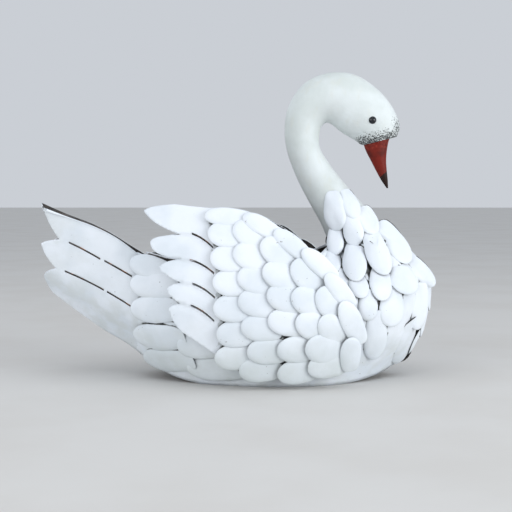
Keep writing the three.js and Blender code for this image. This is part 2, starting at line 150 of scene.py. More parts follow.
class Finish:
    """A material on a Principled shader, with its patterns in metres on the piece itself."""

    def __init__(self, name, **shader):
        self.material = bpy.data.materials.new(name)
        self.material.use_nodes = True
        self.tree = self.material.node_tree
        self.shader = self.tree.nodes["Principled BSDF"]
        for socket, value in shader.items():
            self.shader.inputs[socket.replace("_", " ")].default_value = value
        self.place = self.node("ShaderNodeTexCoord", {}, {}, "Object").socket

    def node(self, kind, settings, inputs, output=0):
        """Adds a node, sets it up, fills its sockets and returns one output."""
        node = self.tree.nodes.new(kind)
        for name, value in settings.items():
            setattr(node, name, value)
        for key, value in inputs.items():
            value = value.socket if isinstance(value, Value) else value
            if isinstance(value, bpy.types.NodeSocket):
                self.tree.links.new(value, node.inputs[key])
            else:
                node.inputs[key].default_value = value
        return Value(self, node.outputs[output])

    def noise(self, size_mm, detail=3.0, stretch=(1, 1, 1), shift=0.0):
        """Cloudy noise with clouds of about that size."""
        moved = {"Vector": self.place, "Scale": stretch, "Location": (shift,) * 3}
        place = self.node("ShaderNodeMapping", {}, moved)
        inputs = {"Vector": place, "Scale": 1 / (size_mm * MM), "Detail": detail}
        return self.node("ShaderNodeTexNoise", {}, inputs)

    def axis(self, name):
        """The place along X, Y or Z, in millimetres."""
        return self.node("ShaderNodeSeparateXYZ", {}, {0: self.place}, name) * (1 / MM)

    def marked(self, name):
        """A number that was written on the mesh."""
        return self.node("ShaderNodeAttribute", {"attribute_name": name}, {}, "Fac")

    def downward(self, start, full):
        """0 where the surface looks up or aside, and 1 where it looks well down."""
        facing = self.node("ShaderNodeNewGeometry", {}, {}, "Normal")
        return self.node("ShaderNodeSeparateXYZ", {}, {0: facing}, "Z").ramp(start, full)

    def blend(self, mask, first, second):
        """The first colour where the mask is 0, and the second where it is 1."""
        colours = [(*c, 1) if isinstance(c, tuple) else c for c in (first, second)]
        inputs = {0: mask, 6: colours[0], 7: colours[1]}
        return self.node("ShaderNodeMix", {"data_type": "RGBA"}, inputs, 2)

    def feed(self, **values):
        """Feeds values into the shader's sockets."""
        for name, value in values.items():
            self.tree.links.new(value.socket, self.shader.inputs[name.replace("_", " ")])

    def bump(self, height, depth_mm):
        """Lets a height from 0 to 1 stand out by that much."""
        inputs = {"Height": height, "Distance": depth_mm * MM, "Strength": 1.0}
        self.feed(Normal=self.node("ShaderNodeBump", {}, inputs))


# %% [markdown]
# ## White paint that has been outside
# The paint on such a swan isn't one white. It is faintly blue, and thin and cloudy where the
# brush ran dry. Shade is painted into it too: grey along the edges of each plate, and on surfaces
# that look down. It could be one flat colour with a rough shader, but then every plate would melt
# into the next. So clouds, painted shade along the rims and underneath, a grey low on the flank
# that is painted shade and dirt together, and a few dark scuffs are mixed over the white. The
# same recipe serves the plates, which carry two marks of their own, how near a point is to the
# rim and how light that plate came out, and the sheets, which carry one: how well plates or a
# hem shelter the point. Where they do, shade is painted on the sheet.

# %% Worn white paint
CLEAN_WHITE = (0.80, 0.85, 0.91)
THIN_WHITE = (0.70, 0.76, 0.82)
RIM_SHADE_GREY = (0.40, 0.43, 0.42)
SCUFF = (0.16, 0.15, 0.15)
UNDERSIDE_SHADE = (0.64, 0.68, 0.68)
SHELTER_SHADE_GREY = (0.20, 0.22, 0.20)
LOW_SHADE_AND_DIRT_GREY = (0.56, 0.61, 0.61)
SHELTER_SHADE_BLACK = (0.018, 0.018, 0.019)
LOW_SHADE_AND_DIRT = {"Z": (95, 15), "X": (150, 125)}  # where the grey low on the flank starts and where it is full, mm


def shelter_shade(paint, colour):
    """Painted shade where plates or a hem shelter the sheet: grey, then near black deeper in."""
    shelter = paint.marked("shelter")
    colour = paint.blend(shelter.ramp(0.45, 0.66) * 0.8, colour, SHELTER_SHADE_GREY)
    return paint.blend(shelter.ramp(0.52, 0.76), colour, SHELTER_SHADE_BLACK)


def brush_marks(paint, clouds, dents_mm, depth_mm):
    """The sheen and the small relief of brushed paint."""
    grain = paint.noise(1.4, 3)
    dents = paint.noise(dents_mm, 2, shift=5.0)
    paint.feed(Roughness=0.46 + 0.2 * clouds + 0.08 * grain)
    paint.bump(0.85 * dents + 0.15 * grain, depth_mm)


def white_paint(name, plates=False):
    """Brushed white paint with clouds, scuffs, dirt and painted shade."""
    paint = Finish(name, IOR=1.45)
    clouds = paint.noise(60, 4)
    patches = paint.noise(22, 5, shift=3.1)
    colour = paint.blend(clouds.ramp(0.42, 0.66), CLEAN_WHITE, THIN_WHITE)
    # Painted shade: surfaces that look down are greyer, in mottled patches.
    low = paint.downward(0.15, -0.75) * patches.ramp(0.35, 0.65)
    colour = paint.blend(low * 0.7, colour, UNDERSIDE_SHADE)
    if plates:
        # Painted shade along each plate's rim, in patches.
        rim_shade = paint.marked("rim").ramp(0.55, 1.0) * paint.noise(9, 4).ramp(0.25, 0.55)
        colour = paint.blend(rim_shade * 0.55, colour, RIM_SHADE_GREY)
        colour = paint.blend(paint.marked("tone") * 0.30, colour, THIN_WHITE)
        # Painted shade and dirt together: greyer low down, behind the breast.
        low_shade_and_dirt = paint.axis("Z").ramp(*LOW_SHADE_AND_DIRT["Z"]) * paint.axis("X").ramp(*LOW_SHADE_AND_DIRT["X"])
        colour = paint.blend(low_shade_and_dirt * (0.5 + 0.5 * patches) * 0.75, colour, LOW_SHADE_AND_DIRT_GREY)
    else:
        # Painted shade where plates or a hem shelter the sheet.
        colour = shelter_shade(paint, colour)
    spots = paint.noise(3.2, 2, shift=7.7).ramp(0.71, 0.76)
    scuffs = spots * paint.noise(35, 2, shift=1.7).ramp(0.52, 0.62)
    paint.feed(Base_Color=paint.blend(scuffs * 0.8, colour, SCUFF))
    brush_marks(paint, clouds, 14, 0.55)
    return paint.material


PLATE_WHITE = white_paint("plate_white", plates=True)
SHEET_WHITE = white_paint("sheet_white")
print("paints:", PLATE_WHITE.name, SHEET_WHITE.name)

# %% [markdown]
# ## Bare steel, the red bill and the bead
# Inside the sheets and on the backs of the plates the brush never came: there the steel is dark
# and scaly, and inside the sheets that darkness also stands in for shade. Where the slots were cut
# the edge shows a thin line of rusty metal. The bill is dark red paint, with a painted highlight of
# lighter red near its root, and dipped in dark brown at its tip along a slanting line. The eye is
# a black bead, so it needs only gloss, a slight unevenness and a painted sheen in patches.

# %% Steel, bill and bead
STEEL_DARK = (0.030, 0.026, 0.024)
STEEL_SCALE = (0.085, 0.070, 0.060)
PAINT_MIST = (0.30, 0.31, 0.32)
RUST = (0.36, 0.13, 0.045)
EDGE_BROWN = (0.040, 0.026, 0.020)
BILL_RED = (0.165, 0.013, 0.007)
BILL_HIGHLIGHT = (0.31, 0.045, 0.026)
BILL_SHADE = (0.100, 0.011, 0.007)
BILL_TIP = (0.018, 0.007, 0.005)
BEAD_DARK = (0.004, 0.005, 0.008)
BEAD_SHEEN = (0.012, 0.014, 0.02)
TIP_LINE = (93.6, 0.85)  # height of the tip's colour line at x = 0, and its rise along x, mm


def mill_scale(steel, roughness):
    """Makes steel scaly, and returns its colour."""
    scale = steel.noise(16, 5)
    steel.feed(Roughness=roughness + 0.25 * scale)
    steel.bump(steel.noise(3, 4), 0.2)
    return steel.blend(scale.ramp(0.4, 0.65), STEEL_DARK, STEEL_SCALE)


def dark_steel():
    steel = Finish("dark_steel", Metallic=0.35)
    steel.feed(Base_Color=mill_scale(steel, 0.55))
    return steel.material


def cut_edge():
    edge = Finish("cut_edge", Metallic=0.3)
    colour = edge.blend(edge.noise(9, 3).ramp(0.50, 0.62), EDGE_BROWN, RUST)
    edge.feed(Base_Color=colour, Roughness=0.5 + 0.2 * edge.noise(2, 2))
    return edge.material


def bill_red():
    paint = Finish("bill_red", IOR=1.28)
    height = paint.axis("Z")
    clouds = paint.noise(14, 4)
    colour = paint.blend(clouds.ramp(0.42, 0.68), BILL_RED, BILL_SHADE)
    # Painted highlight: lighter red in spots on the top of the bill, near its root.
    root = height.ramp(276, 292) * paint.noise(3.5, 3, shift=2.0).ramp(0.45, 0.62)
    colour = paint.blend(root * 0.6, colour, BILL_HIGHLIGHT)
    slant = height - TIP_LINE[1] * paint.axis("X") + 2.5 * paint.noise(5, 2)
    tip = slant.ramp(TIP_LINE[0] + 2.2, TIP_LINE[0] + 0.6)
    paint.feed(Base_Color=paint.blend(tip, colour, BILL_TIP), Roughness=0.42 + 0.22 * clouds)
    paint.bump(0.7 * paint.noise(7, 2) + 0.3 * paint.noise(1.2, 2), 0.35)
    return paint.material


def bead_black():
    bead = Finish("bead_black", IOR=1.5)
    wear_and_sheen = bead.noise(2.5, 2)
    # Painted sheen: lighter blue-black patches; the same noise roughens the gloss.
    colour = bead.blend(wear_and_sheen.ramp(0.4, 0.7), BEAD_DARK, BEAD_SHEEN)
    bead.feed(Base_Color=colour, Roughness=0.07 + 0.1 * wear_and_sheen)
    return bead.material


def sheet_inside():
    """Bare steel, whose darkness also stands in for shade, with paint that came over the edge."""
    inside = Finish("sheet_inside", Metallic=0.2)
    mist = inside.noise(26, 4, shift=6.1).ramp(0.45, 0.75)
    colour = inside.blend(mist * 0.35, mill_scale(inside, 0.5), PAINT_MIST)
    edge = inside.marked("rim") + 0.5 * inside.noise(5, 3)
    inside.feed(Base_Color=inside.blend(edge.ramp(0.55, 0.95), colour, CLEAN_WHITE))
    return inside.material


DARK_STEEL = dark_steel()
SHEET_INSIDE = sheet_inside()
CUT_EDGE = cut_edge()
BILL_RED_PAINT = bill_red()
BEAD_BLACK = bead_black()
others = (DARK_STEEL, CUT_EDGE, SHEET_INSIDE, BILL_RED_PAINT, BEAD_BLACK)
print("steel, bill and bead:", [material.name for material in others])

# %% [markdown]
# ## Speckled face
# Above the bill a band of black was dabbed on with a stiff brush, dense at the bill's root and
# thinning into single specks, and it runs up the front of the forehead. Painting specks one by
# one would be slow, and a dark band with a soft edge would look sprayed. So a fine noise is cut
# off at a level, and that level follows a mask of where the brush was: near the line of the
# bill's root almost all of the noise passes, and further off only its peaks.

# %% Paint of the neck and head
ROOT_LINE = (262.9, 0.163)  # height of the bill's root line at x = 0, and its rise along x, mm
SPECK = (0.022, 0.024, 0.026)
NECK_WHITE = (0.70, 0.755, 0.765)
NECK_THIN = (0.60, 0.655, 0.645)
NECK_STREAK = (0.62, 0.64, 0.58)
FACE_HAZE = (0.22, 0.24, 0.23)
# Where the brush's mask starts and where it is full, mm. The band's heights are from the line.
BAND = {"top": (21, 2), "foot": (-14, -6), "rear": (146, 157)}
FOREHEAD = {"top": (340, 308), "foot": (278, 288), "rear": (188, 202)}


def face_paint():
    face = Finish("face_paint", IOR=1.45)
    clouds = face.noise(55, 4)
    colour = face.blend(clouds.ramp(0.40, 0.66), NECK_WHITE, NECK_THIN)
    # Painted shade: surfaces that look down are greyer, in mottled patches.
    low = face.downward(0.35, -0.6) * face.noise(17, 5, shift=3.1).ramp(0.30, 0.66)
    colour = face.blend(low * 0.75, colour, UNDERSIDE_SHADE)
    streaks = face.noise(9, 4, stretch=(1, 1, 0.35), shift=9.2)
    colour = face.blend(streaks.ramp(0.52, 0.72) * 0.28, colour, NECK_STREAK)

    along = face.axis("X")
    height = face.axis("Z")
    above = height - ROOT_LINE[1] * along - ROOT_LINE[0]
    band = above.ramp(*BAND["top"]) * above.ramp(*BAND["foot"]) * along.ramp(*BAND["rear"])
    forehead = along.ramp(*FOREHEAD["rear"]) * height.ramp(*FOREHEAD["top"])
    brushed = band.larger(0.8 * (forehead * height.ramp(*FOREHEAD["foot"])))
    dabs = face.noise(1.6, 2, shift=4.4) - (0.74 - 0.31 * brushed)
    marks = dabs.ramp(0.0, 0.035) * brushed.ramp(0.02, 0.2)
    haze = brushed * face.noise(5, 3, shift=8.8).ramp(0.35, 0.7)
    colour = face.blend(haze * 0.5, colour, FACE_HAZE)
    colour = face.blend(marks * 0.92, colour, SPECK)
    # Painted shade where the plates shelter the foot of the neck.
    face.feed(Base_Color=shelter_shade(face, colour))
    brush_marks(face, clouds, 13, 0.5)
    return face.material


FACE_PAINT = face_paint()
print("finishes:", [material.name for material in bpy.data.materials])

# %% [markdown]
# ## Smooth lines from few points
# The body is a boat of bent sheet. Its maker would draw only a few lines, from stern to bow: the
# edge on the ground, the waist, the shoulder and the rim. A curve through each gives every
# station between, and a curve from line to line gives every height between. Such a surface can
# be asked for the place at any share of the way along and up, and a grid laid on it is the
# bent sheet.

# %% Curves, rails and surfaces
SOFT = 0.5  # how the curve's pace follows the spacing of its points
# Three rounds of blending: the knot that each blend starts from, and how many it spans.
BLENDS = [[(0, 1), (1, 1), (2, 1)], [(0, 2), (1, 2)], [(1, 1)]]


def within(value, low=0.0, high=1.0):
    return min(max(value, low), high)


def smooth_point(points, share):
    """The point at that share of a smooth curve. Past its ends it runs straight on."""
    inside = within(share)
    if share != inside:
        near = 0.01 if inside == 0 else 0.99
        end = smooth_point(points, inside)
        return end + (end - smooth_point(points, near)) * abs(share - inside) * 100
    spans = len(points) - 1
    first = min(int(inside * spans), spans - 1)
    second = first + 1
    before = points[first - 1] if first > 0 else 2 * points[0] - points[1]
    after = points[second + 1] if second < spans else 2 * points[spans] - points[spans - 1]
    knots = [before, points[first], points[second], after]
    at = [0.0]
    for a, b in zip(knots, knots[1:]):
        at.append(at[-1] + max((b - a).length, 1e-6) ** SOFT)
    place = at[1] + (at[2] - at[1]) * (inside * spans - first)
    row = knots
    for blends in BLENDS:
        row = [
            row[i].lerp(row[i + 1], (place - at[low]) / (at[low + span] - at[low]))
            for i, (low, span) in enumerate(blends)
        ]
    return row[0]


def rail(points):
    return [Vector(point) for point in points]


def surface_of(rails):
    """Place at a share along the rails and a share from the first rail to the last."""

    def place(along, up):
        point = smooth_point([smooth_point(line, along) for line in rails], up)
        point.z = max(point.z, 0.0)
        return point

    return place


def bent_sheet(name, place, cells):
    """A grid laid on a surface. Its outside looks away from the first direction times the second."""
    pick()
    bpy.ops.mesh.primitive_grid_add(x_subdivisions=cells[0], y_subdivisions=cells[1], size=1)
    sheet = named(name)
    for vertex in sheet.data.vertices:
        vertex.co = place(vertex.co.x + 0.5, vertex.co.y + 0.5) * MM
    bpy.ops.object.shade_smooth()
    return sheet


# %% [markdown]
# ## The trunk
# On the real swan the trunk is two bent sheets, welded along the bow, open at the back. One half
# is laid on its four rails, mirrored, and only then given its thickness, so that both walls stay
# even. The outside takes the white paint and the inside stays bare: Solidify can put another
# material on the inner wall.

# %% Trunk, right half laid and mirrored
SHEET = 1.0  # thickness of the sheets, mm
HULL_RAILS = [
    rail([
        (-122, -6, 32), (-86, -38, 11), (-39, -65, 0), (26, -86, 0), (80, -86, 0),
        (112, -78, 0), (144, -60, 0.8), (177, -32, 6), (203, 0, 14),
    ]),
    rail([
        (-119.4, -46, 80), (-84, -74, 55), (-36, -97, 55), (26, -110, 58), (84, -110, 60),
        (120, -102, 60), (156, -86, 60), (202, -56, 60), (234, 0, 60),
    ]),
    rail([
        (-117, -58, 122), (-83, -84, 108), (-36, -104, 105), (26, -112, 105), (84, -109, 106),
        (122, -101, 110), (162, -83, 114), (212, -54, 120), (243, 0, 123),
    ]),
    rail([
        (-115, -56, 158), (-82, -80, 147), (-36, -97, 142), (26, -106, 142), (80, -98, 144),
        (104, -60, 156), (124, -18, 166), (169, -44, 166.5), (215, 0, 165),
    ]),
]
HULL_CELLS = (96, 36)
hull_place = surface_of(HULL_RAILS)
LEFT_DROP = [  # x, and the share of its height by which the left side is lower there
    (-250, -0.01), (-140, 0.04), (-115, 0.034), (-60, 0.028), (30, 0.028), (65, 0.008), (100, 0),
]
LEFT_DROP_FROM = 40  # distance from the middle plane where the drop is full, mm
SEAM = 0.4  # the two halves are merged where they come this near, mm
ON_LINE = 0.1  # a point this near to an outline lies on it, mm


def smooth_step(low, high, value):
    """0 at low, 1 at high, and smooth between them. low may be the larger."""
    t = within((value - low) / (high - low))
    return t * t * (3 - 2 * t)


def own_copy(piece):
    """A copy with its own mesh, kept out of the scene."""
    copy = piece.copy()
    copy.data = piece.data.copy()
    return copy


def give_walls(sheet, outside, thickness=SHEET):
    """Turns a skin into sheet metal, painted outside and bare inside."""
    sheet.data.materials.append(outside)
    sheet.data.materials.append(SHEET_INSIDE)
    walls = {"thickness": thickness * MM, "offset": -1.0, "use_even_offset": True}
    treat(sheet, "SOLIDIFY", material_offset=1, **walls)


def mark_points(piece, name, worth):
    """Writes a number on every point of a piece."""
    marks = piece.data.attributes.new(name, "FLOAT", "POINT")
    for vertex, mark in zip(piece.data.vertices, marks.data):
        mark.value = worth(vertex)


def mark_open_edge(sheet):
    """Marks the points along the open edges of a skin."""
    edit_all(sheet)
    bpy.ops.mesh.select_all(action="DESELECT")
    bpy.ops.mesh.select_mode(type="EDGE")
    bpy.ops.mesh.select_non_manifold()
    bpy.ops.mesh.select_mode(type="VERT")
    bpy.ops.object.mode_set(mode="OBJECT")
    mark_points(sheet, "rim", lambda vertex: float(vertex.select))


def mark_rim(sheet, outline):
    """Marks the points that lie on the outline a sheet was cut to."""
    corners = [Vector(corner) for corner in outline]
    sides = list(zip(corners, corners[1:] + corners[:1]))

    def on_outline(vertex):
        place = Vector((vertex.co.x, vertex.co.z)) / MM
        for start, end in sides:
            share = within((place - start).dot(end - start) / (end - start).length_squared)
            if (place - start.lerp(end, share)).length < ON_LINE:
                return 1.0
        return 0.0

    mark_points(sheet, "rim", on_outline)


def form_of(*skins):
    """The skins as one form that plates can be laid on."""
    points = []
    faces = []
    for skin in skins:
        start = len(points)
        points += [vertex.co.copy() for vertex in skin.data.vertices]
        faces += [[start + i for i in face.vertices] for face in skin.data.polygons]
    return BVHTree.FromPolygons(points, faces)


def left_drop(x):
    """The share by which the left side is lower at x."""
    for (x0, share0), (x1, share1) in zip(LEFT_DROP, LEFT_DROP[1:]):
        if x < x1:
            return share0 + (share1 - share0) * (max(x, x0) - x0) / (x1 - x0)
    return LEFT_DROP[-1][1]


def let_down(piece):
    """Lowers the left side of a piece as the bent sheets do."""
    for vertex in piece.data.vertices:
        full = smooth_step(0, LEFT_DROP_FROM, vertex.co.y / MM)
        vertex.co.z *= 1 - left_drop(vertex.co.x / MM) * full


trunk = bent_sheet("trunk_sheet", hull_place, HULL_CELLS)
treat(trunk, "MIRROR", use_axis=(False, True, False), merge_threshold=SEAM * MM)
let_down(trunk)
mark_open_edge(trunk)
trunk_form = own_copy(trunk)
give_walls(trunk, SHEET_WHITE)
print("trunk:", len(trunk.data.polygons), "faces")

# %% [markdown]
# ## The bottom pan
# A flat sheet closes the boat underneath. Its outline is the ground edge of the trunk, so the
# same rail is used again, from one side straight across to the other.

# %% Pan between the ground edges
PAN_INSET = 1.4
PAN_THICK = 1.2
PAN_SHARES = (0.012, 0.97)  # where along the ground edge it starts, and how much of it it takes
PAN_CELLS = (48, 16)


def pan_place(along, across):
    edge = smooth_point(HULL_RAILS[0], PAN_SHARES[0] + PAN_SHARES[1] * along)
    side = min(edge.y + PAN_INSET, 0.0)
    return Vector((edge.x, side * (1 - 2 * across), max(edge.z, 0.0) + PAN_THICK))


pan = bent_sheet("bottom_pan_sheet", pan_place, PAN_CELLS)
give_walls(pan, DARK_STEEL, PAN_THICK)
print("pan:", len(pan.data.polygons), "faces")

# %% [markdown]
# ## Cutting sheets to an outline
# Wings and tail were cut with snips from flat sheet and then bent. In Blender it is easier the
# other way round: bend a large grid first, give it thickness, and then cut it with a prism that
# has the outline. The prism starts as a circle with as many corners as the outline has, each
# moved to its place, and is extruded across the whole width. A feather's edge is a plain curve
# from a start to an end that leans towards a third point, so each feather takes two such bows.

# %% Bows, prisms and cuts
BOW_STEPS = 8
REACH = 200  # half the length of a prism across the swan


def bow(start, pull, end, steps=BOW_STEPS):
    """Points of a curve that leaves start towards pull and comes to end. It leaves out the start."""
    points = []
    for step in range(1, steps + 1):
        t = step / steps
        shares = ((1 - t) ** 2, 2 * t * (1 - t), t * t)
        points.append(tuple(
            shares[0] * a + shares[1] * b + shares[2] * c for a, b, c in zip(start, pull, end)
        ))
    return points


def prism(name, outline):
    """A block across the whole width with that outline in x and z."""
    pick()
    bpy.ops.mesh.primitive_circle_add(vertices=len(outline), radius=1, fill_type="NGON")
    block = named(name)
    for vertex, (x, z) in zip(block.data.vertices, outline):
        vertex.co = Vector((x, REACH, z)) * MM
    edit_all(block)
    bpy.ops.mesh.extrude_region_move(TRANSFORM_OT_translate={"value": (0, -2 * REACH * MM, 0)})
    bpy.ops.mesh.select_all(action="SELECT")
    bpy.ops.mesh.normals_make_consistent(inside=False)
    pick(block)
    return block


def cut(sheet, blocks, operation):
    """Cuts a sheet with blocks, which are used up."""
    pick(*blocks)
    if len(blocks) > 1:
        bpy.ops.object.join()
    settings = {"solver": "EXACT", "material_mode": "TRANSFER"}
    treat(sheet, "BOOLEAN", object=blocks[0], operation=operation, **settings)
    bpy.data.objects.remove(blocks[0])


SLOT_WIDTH = 1.9
SLOT_BOW = 0.085  # how far a slot bows up, as a share of its length


def slot_line(slot, offset, steps=6):
    """Points along a bowed slot, so far above its middle line."""
    x0, z0, x1, z1, straight = slot
    rise = 2 * SLOT_BOW * (x1 - x0) * (1 - straight)
    pull = ((x0 + x1) / 2, (z0 + z1) / 2 + rise + offset)
    start = (x0, z0 + offset)
    return [start] + bow(start, pull, (x1, z1 + offset), steps)


def slot_block(slot):
    """The tool that punches one slot."""
    half = SLOT_WIDTH / 2
    block = prism("slot", slot_line(slot, -half) + slot_line(slot, half)[::-1])
    block.data.materials.append(CUT_EDGE)
    return block


FEATHER_TOP = {"back": 0.1, "up": 0.75}  # how full a feather's upper edge is near its tip
FEATHER_FOOT = {"back": 0.22, "down": 0.58}  # and its lower edge
BLUNT_TIP = (-95, 172)  # the one feather whose tip came out blunt
BLUNT_FULL = 0.85  # how full both of its edges are
TIP_STEPS = 6  # points round a feather's tip


def mix(first, second, share):
    return first + (second - first) * share


def feather(start, tip, end):
    """Out along the upper edge, round the tip, and back along the lower edge."""
    sharp = 1 if tip != BLUNT_TIP else 0
    back, up = FEATHER_TOP["back"] * sharp, mix(BLUNT_FULL, FEATHER_TOP["up"], sharp)
    top = bow(start, (mix(tip[0], start[0], back), mix(tip[1], start[1], up)), tip)[:-1]
    back, down = FEATHER_FOOT["back"] * sharp, mix(BLUNT_FULL, FEATHER_FOOT["down"], sharp)
    foot = bow(tip, (mix(tip[0], end[0], back), mix(tip[1], end[1], down)), end)
    nose = [2 * t - (a + b) / 2 for t, a, b in zip(tip, top[-1], foot[0])]
    return top + bow(top[-1], nose, foot[0], TIP_STEPS) + foot[1:]


# %% [markdown]
# ## A wing sheet
# The wing is a shallow dish with five long feathers at the back. Each feather is pressed: it
# rises to a ridge, and its lower edge stands proud of the next one, as roof tiles do, so that a
# slit of shadow opens along each slot. The first feather's ridge lies high and the last one's
# lies near its top edge, which leaves a broad lower slope in shade. This relief is added to the
# dish before cutting, and fades out before the plates begin.

# %% Dish, feather relief and outline
WING_THICK = 1.1
DISH_PEAK = (46, -127, 110)
DISH_FALL = {"front": 46, "rear": 25, "up": 33}  # how far it falls away over the spans below
DISH_SPAN = (150, 115)  # along and up
WING_BLANK = ((-112, 160), (0, 232))
WING_CELLS = (110, 94)
EDGE_STEPS = 28  # steps along the wing's long edges
WING_TIPS = [(-104, 208), BLUNT_TIP, (-84, 143), (-75, 118), (-73, 95)]
WING_NOTCHES = [(-60, 181), (-59, 153), (-58, 126), (-59, 102)]
WING_TOP = [(-68, 216), (-29, 212), (-2, 212), (24, 206), (76, 175), (124, 116), (148, 64)]
WING_FOOT = [(149, 32), (141, 21), (118, 15), (88, 10), (62, 11), (10, 20), (-20, 43), (-57, 68)]
WING_SLOTS = [  # x and z of both ends, and how straight it is
    (-46, 182, -21, 166, 0), (-48, 152, -20, 137, 0),
    (-45, 125, -19, 109, 0), (-47, 100, -20, 82, 0),
]
LINE_HEIGHTS = [(193, 150), (160, 122), (132, 93), (107, 64)]  # at the ends of a line
FEATHER_LINES = [  # the lines between the feathers, from the top edge to the bottom one
    [(-112, 216), (-68, 219), (-29, 214), (10, 212)],
    *[
        [(-112, rear), notch, slot[:2], slot[2:4], (10, front)]
        for (rear, front), notch, slot in zip(LINE_HEIGHTS, WING_NOTCHES, WING_SLOTS)
    ],
    [(-112, 78), (-73, 78), (-57, 66), (-20, 40), (10, 20)],
]
FEATHER_RIDGES = [0.33, 0.45, 0.5, 0.45, 0.24]  # where each ridge lies, as a share downwards
RIDGE_HEIGHT = 1.3
RIDGE_ROUND = 0.85  # the power of a straight rise that rounds a ridge
TILE_STEP = 2.2  # how far a lower edge stands proud
RELIEF_ENDS = (0, -56)  # x where the relief starts and where it is full


def height_on(line, x):
    """Height of a broken line at x."""
    for (x0, z0), (x1, z1) in zip(line, line[1:]):
        if x <= x1:
            return z0 + (z1 - z0) * (x - x0) / (x1 - x0)
    return line[-1][1]


def feather_relief(x, z):
    """How far the pressed feathers stand out of the dish."""
    heights = [height_on(line, x) for line in FEATHER_LINES]
    for ridge, top, foot in zip(FEATHER_RIDGES, heights, heights[1:]):
        if z >= foot:
            down = within((top - z) / (top - foot))
            tent = down / ridge if down < ridge else (1 - down) / (1 - ridge)
            rise = RIDGE_HEIGHT * tent ** RIDGE_ROUND + TILE_STEP * down
            return rise * smooth_step(*RELIEF_ENDS, x)
    return 0.0


def dish(x, z):
    along = (x - DISH_PEAK[0]) / DISH_SPAN[0]
    up = (z - DISH_PEAK[2]) / DISH_SPAN[1]
    fall = DISH_FALL["front" if along > 0 else "rear"] * along ** 2
    return DISH_PEAK[1] + fall + DISH_FALL["up"] * up ** 2


def wing_place(along, up):
    (x0, x1), (z0, z1) = WING_BLANK
    x = x0 + (x1 - x0) * along
    z = z0 + (z1 - z0) * up
    return Vector((x, dish(x, z) - feather_relief(x, z), z))


def spline(points, steps):
    """Points of a smooth line through the given ones, in x and z."""
    line = [Vector((x, 0, z)) for x, z in points]
    places = [smooth_point(line, step / steps) for step in range(steps + 1)]
    return [(place.x, place.z) for place in places]


def wing_outline():
    outline = [WING_TOP[0]]
    for tip, end in zip(WING_TIPS, WING_NOTCHES + [WING_FOOT[-1]]):
        outline += feather(outline[-1], tip, end)
    outline += spline(WING_FOOT[::-1], EDGE_STEPS)[1:]
    return outline + spline(WING_TOP[::-1], EDGE_STEPS)[:-1]


wing = bent_sheet("wing_sheet_right", wing_place, WING_CELLS)
wing_form = form_of(wing)
give_walls(wing, SHEET_WHITE, WING_THICK)
cut(wing, [prism("wing_outline", wing_outline())], "INTERSECT")
cut(wing, [slot_block(slot) for slot in WING_SLOTS], "DIFFERENCE")
mark_rim(wing, wing_outline())
print("wing sheet:", len(wing.data.polygons), "faces")

# %% [markdown]
# ## The tail
# Two sheets carry the trunk's lines on to the tips, and together they make an open trough. Their
# top edges flare outwards in a small lip that is widest at the tip. The left one is a little
# longer at the top, so its edge shows behind the right one's. Three feathers are cut out of each
# end and two broken slots are punched along it.

# %% Tail sheets
TAIL_RAILS = [
    rail([(-245, -0.6, 119), (-200, -1, 80), (-165, -2, 58.5), (-138, -4, 43), (-112, -9, 26)]),
    rail([(-245, -28, 144), (-200, -32, 115), (-165, -36, 99), (-138, -43, 88), (-112, -52, 77)]),
    rail([(-245, -45, 184), (-200, -46, 162), (-165, -49, 146), (-138, -54, 133), (-112, -60, 119)]),
]
TAIL_TOP_RIGHT = rail([
    (-245, -65, 219), (-200, -57, 201), (-165, -55, 188), (-138, -56, 174), (-112, -58, 155),
])
TAIL_TOP_LEFT = rail([
    (-271, -66, 219.5), (-222, -60, 203), (-180, -56, 190.5), (-151, -54.5, 177), (-112, -58, 151),
])
TAIL_CELLS = (60, 56)
TAIL_JOINT = [(-113, 26), (-112.5, 160)]
TAIL_CLEAR = {"joint": 190, "tip": 240, "keel": 20}  # heights that the sheet doesn't reach
TAIL_TIP_RIGHT = (-226, 211)
TAIL_TIP_LEFT = (-252, 213)
TAIL_TIPS = [(-233, 167), (-234, 126)]
TAIL_NOTCHES = [(-210, 173), (-216, 137)]
TAIL_HEEL = (-226, 104)
TAIL_SLOTS = [
    (-198, 169, -160, 149, 0.8), (-155, 147, -121, 128.5, 0.9),
    (-205, 133.5, -157, 111, 0.8), (-153, 109, -122.5, 91.5, 0.9),
]
TOP_EDGE_PULL = 3  # how far ahead of the tip the edge below it is pulled, mm
HEM_SHADE = {"deep": 12, "most": 0.55}  # how far down the painted shade goes, mm, and how strong it is
HEM_SHADE_ENDS = (-170, -205)  # x where it starts and where it is full
HEM_STEPS = 60


def tail_outline(top_tip):
    (joint_x, _), joint_top = TAIL_JOINT
    tip_x, tip_z = top_tip
    outline = [TAIL_JOINT[0], joint_top, (joint_top[0], TAIL_CLEAR["joint"])]
    outline += [(tip_x, TAIL_CLEAR["tip"]), top_tip]
    halfway = mix(tip_z, TAIL_NOTCHES[0][1], 0.5)
    outline += bow(top_tip, (tip_x + TOP_EDGE_PULL, halfway), TAIL_NOTCHES[0])
    for tip, end in zip(TAIL_TIPS, [TAIL_NOTCHES[1], TAIL_HEEL]):
        outline += feather(outline[-1], tip, end)
    return outline + [(joint_x, TAIL_CLEAR["keel"])]


def tail_sheet(name, top_rail, top_tip):
    sheet = bent_sheet(name, surface_of(TAIL_RAILS + [top_rail]), TAIL_CELLS)
    form = form_of(sheet)
    give_walls(sheet, SHEET_WHITE)
    cut(sheet, [prism("tail_outline", tail_outline(top_tip))], "INTERSECT")
    cut(sheet, [slot_block(slot) for slot in TAIL_SLOTS], "DIFFERENCE")
    mark_rim(sheet, tail_outline(top_tip))
    return sheet, form


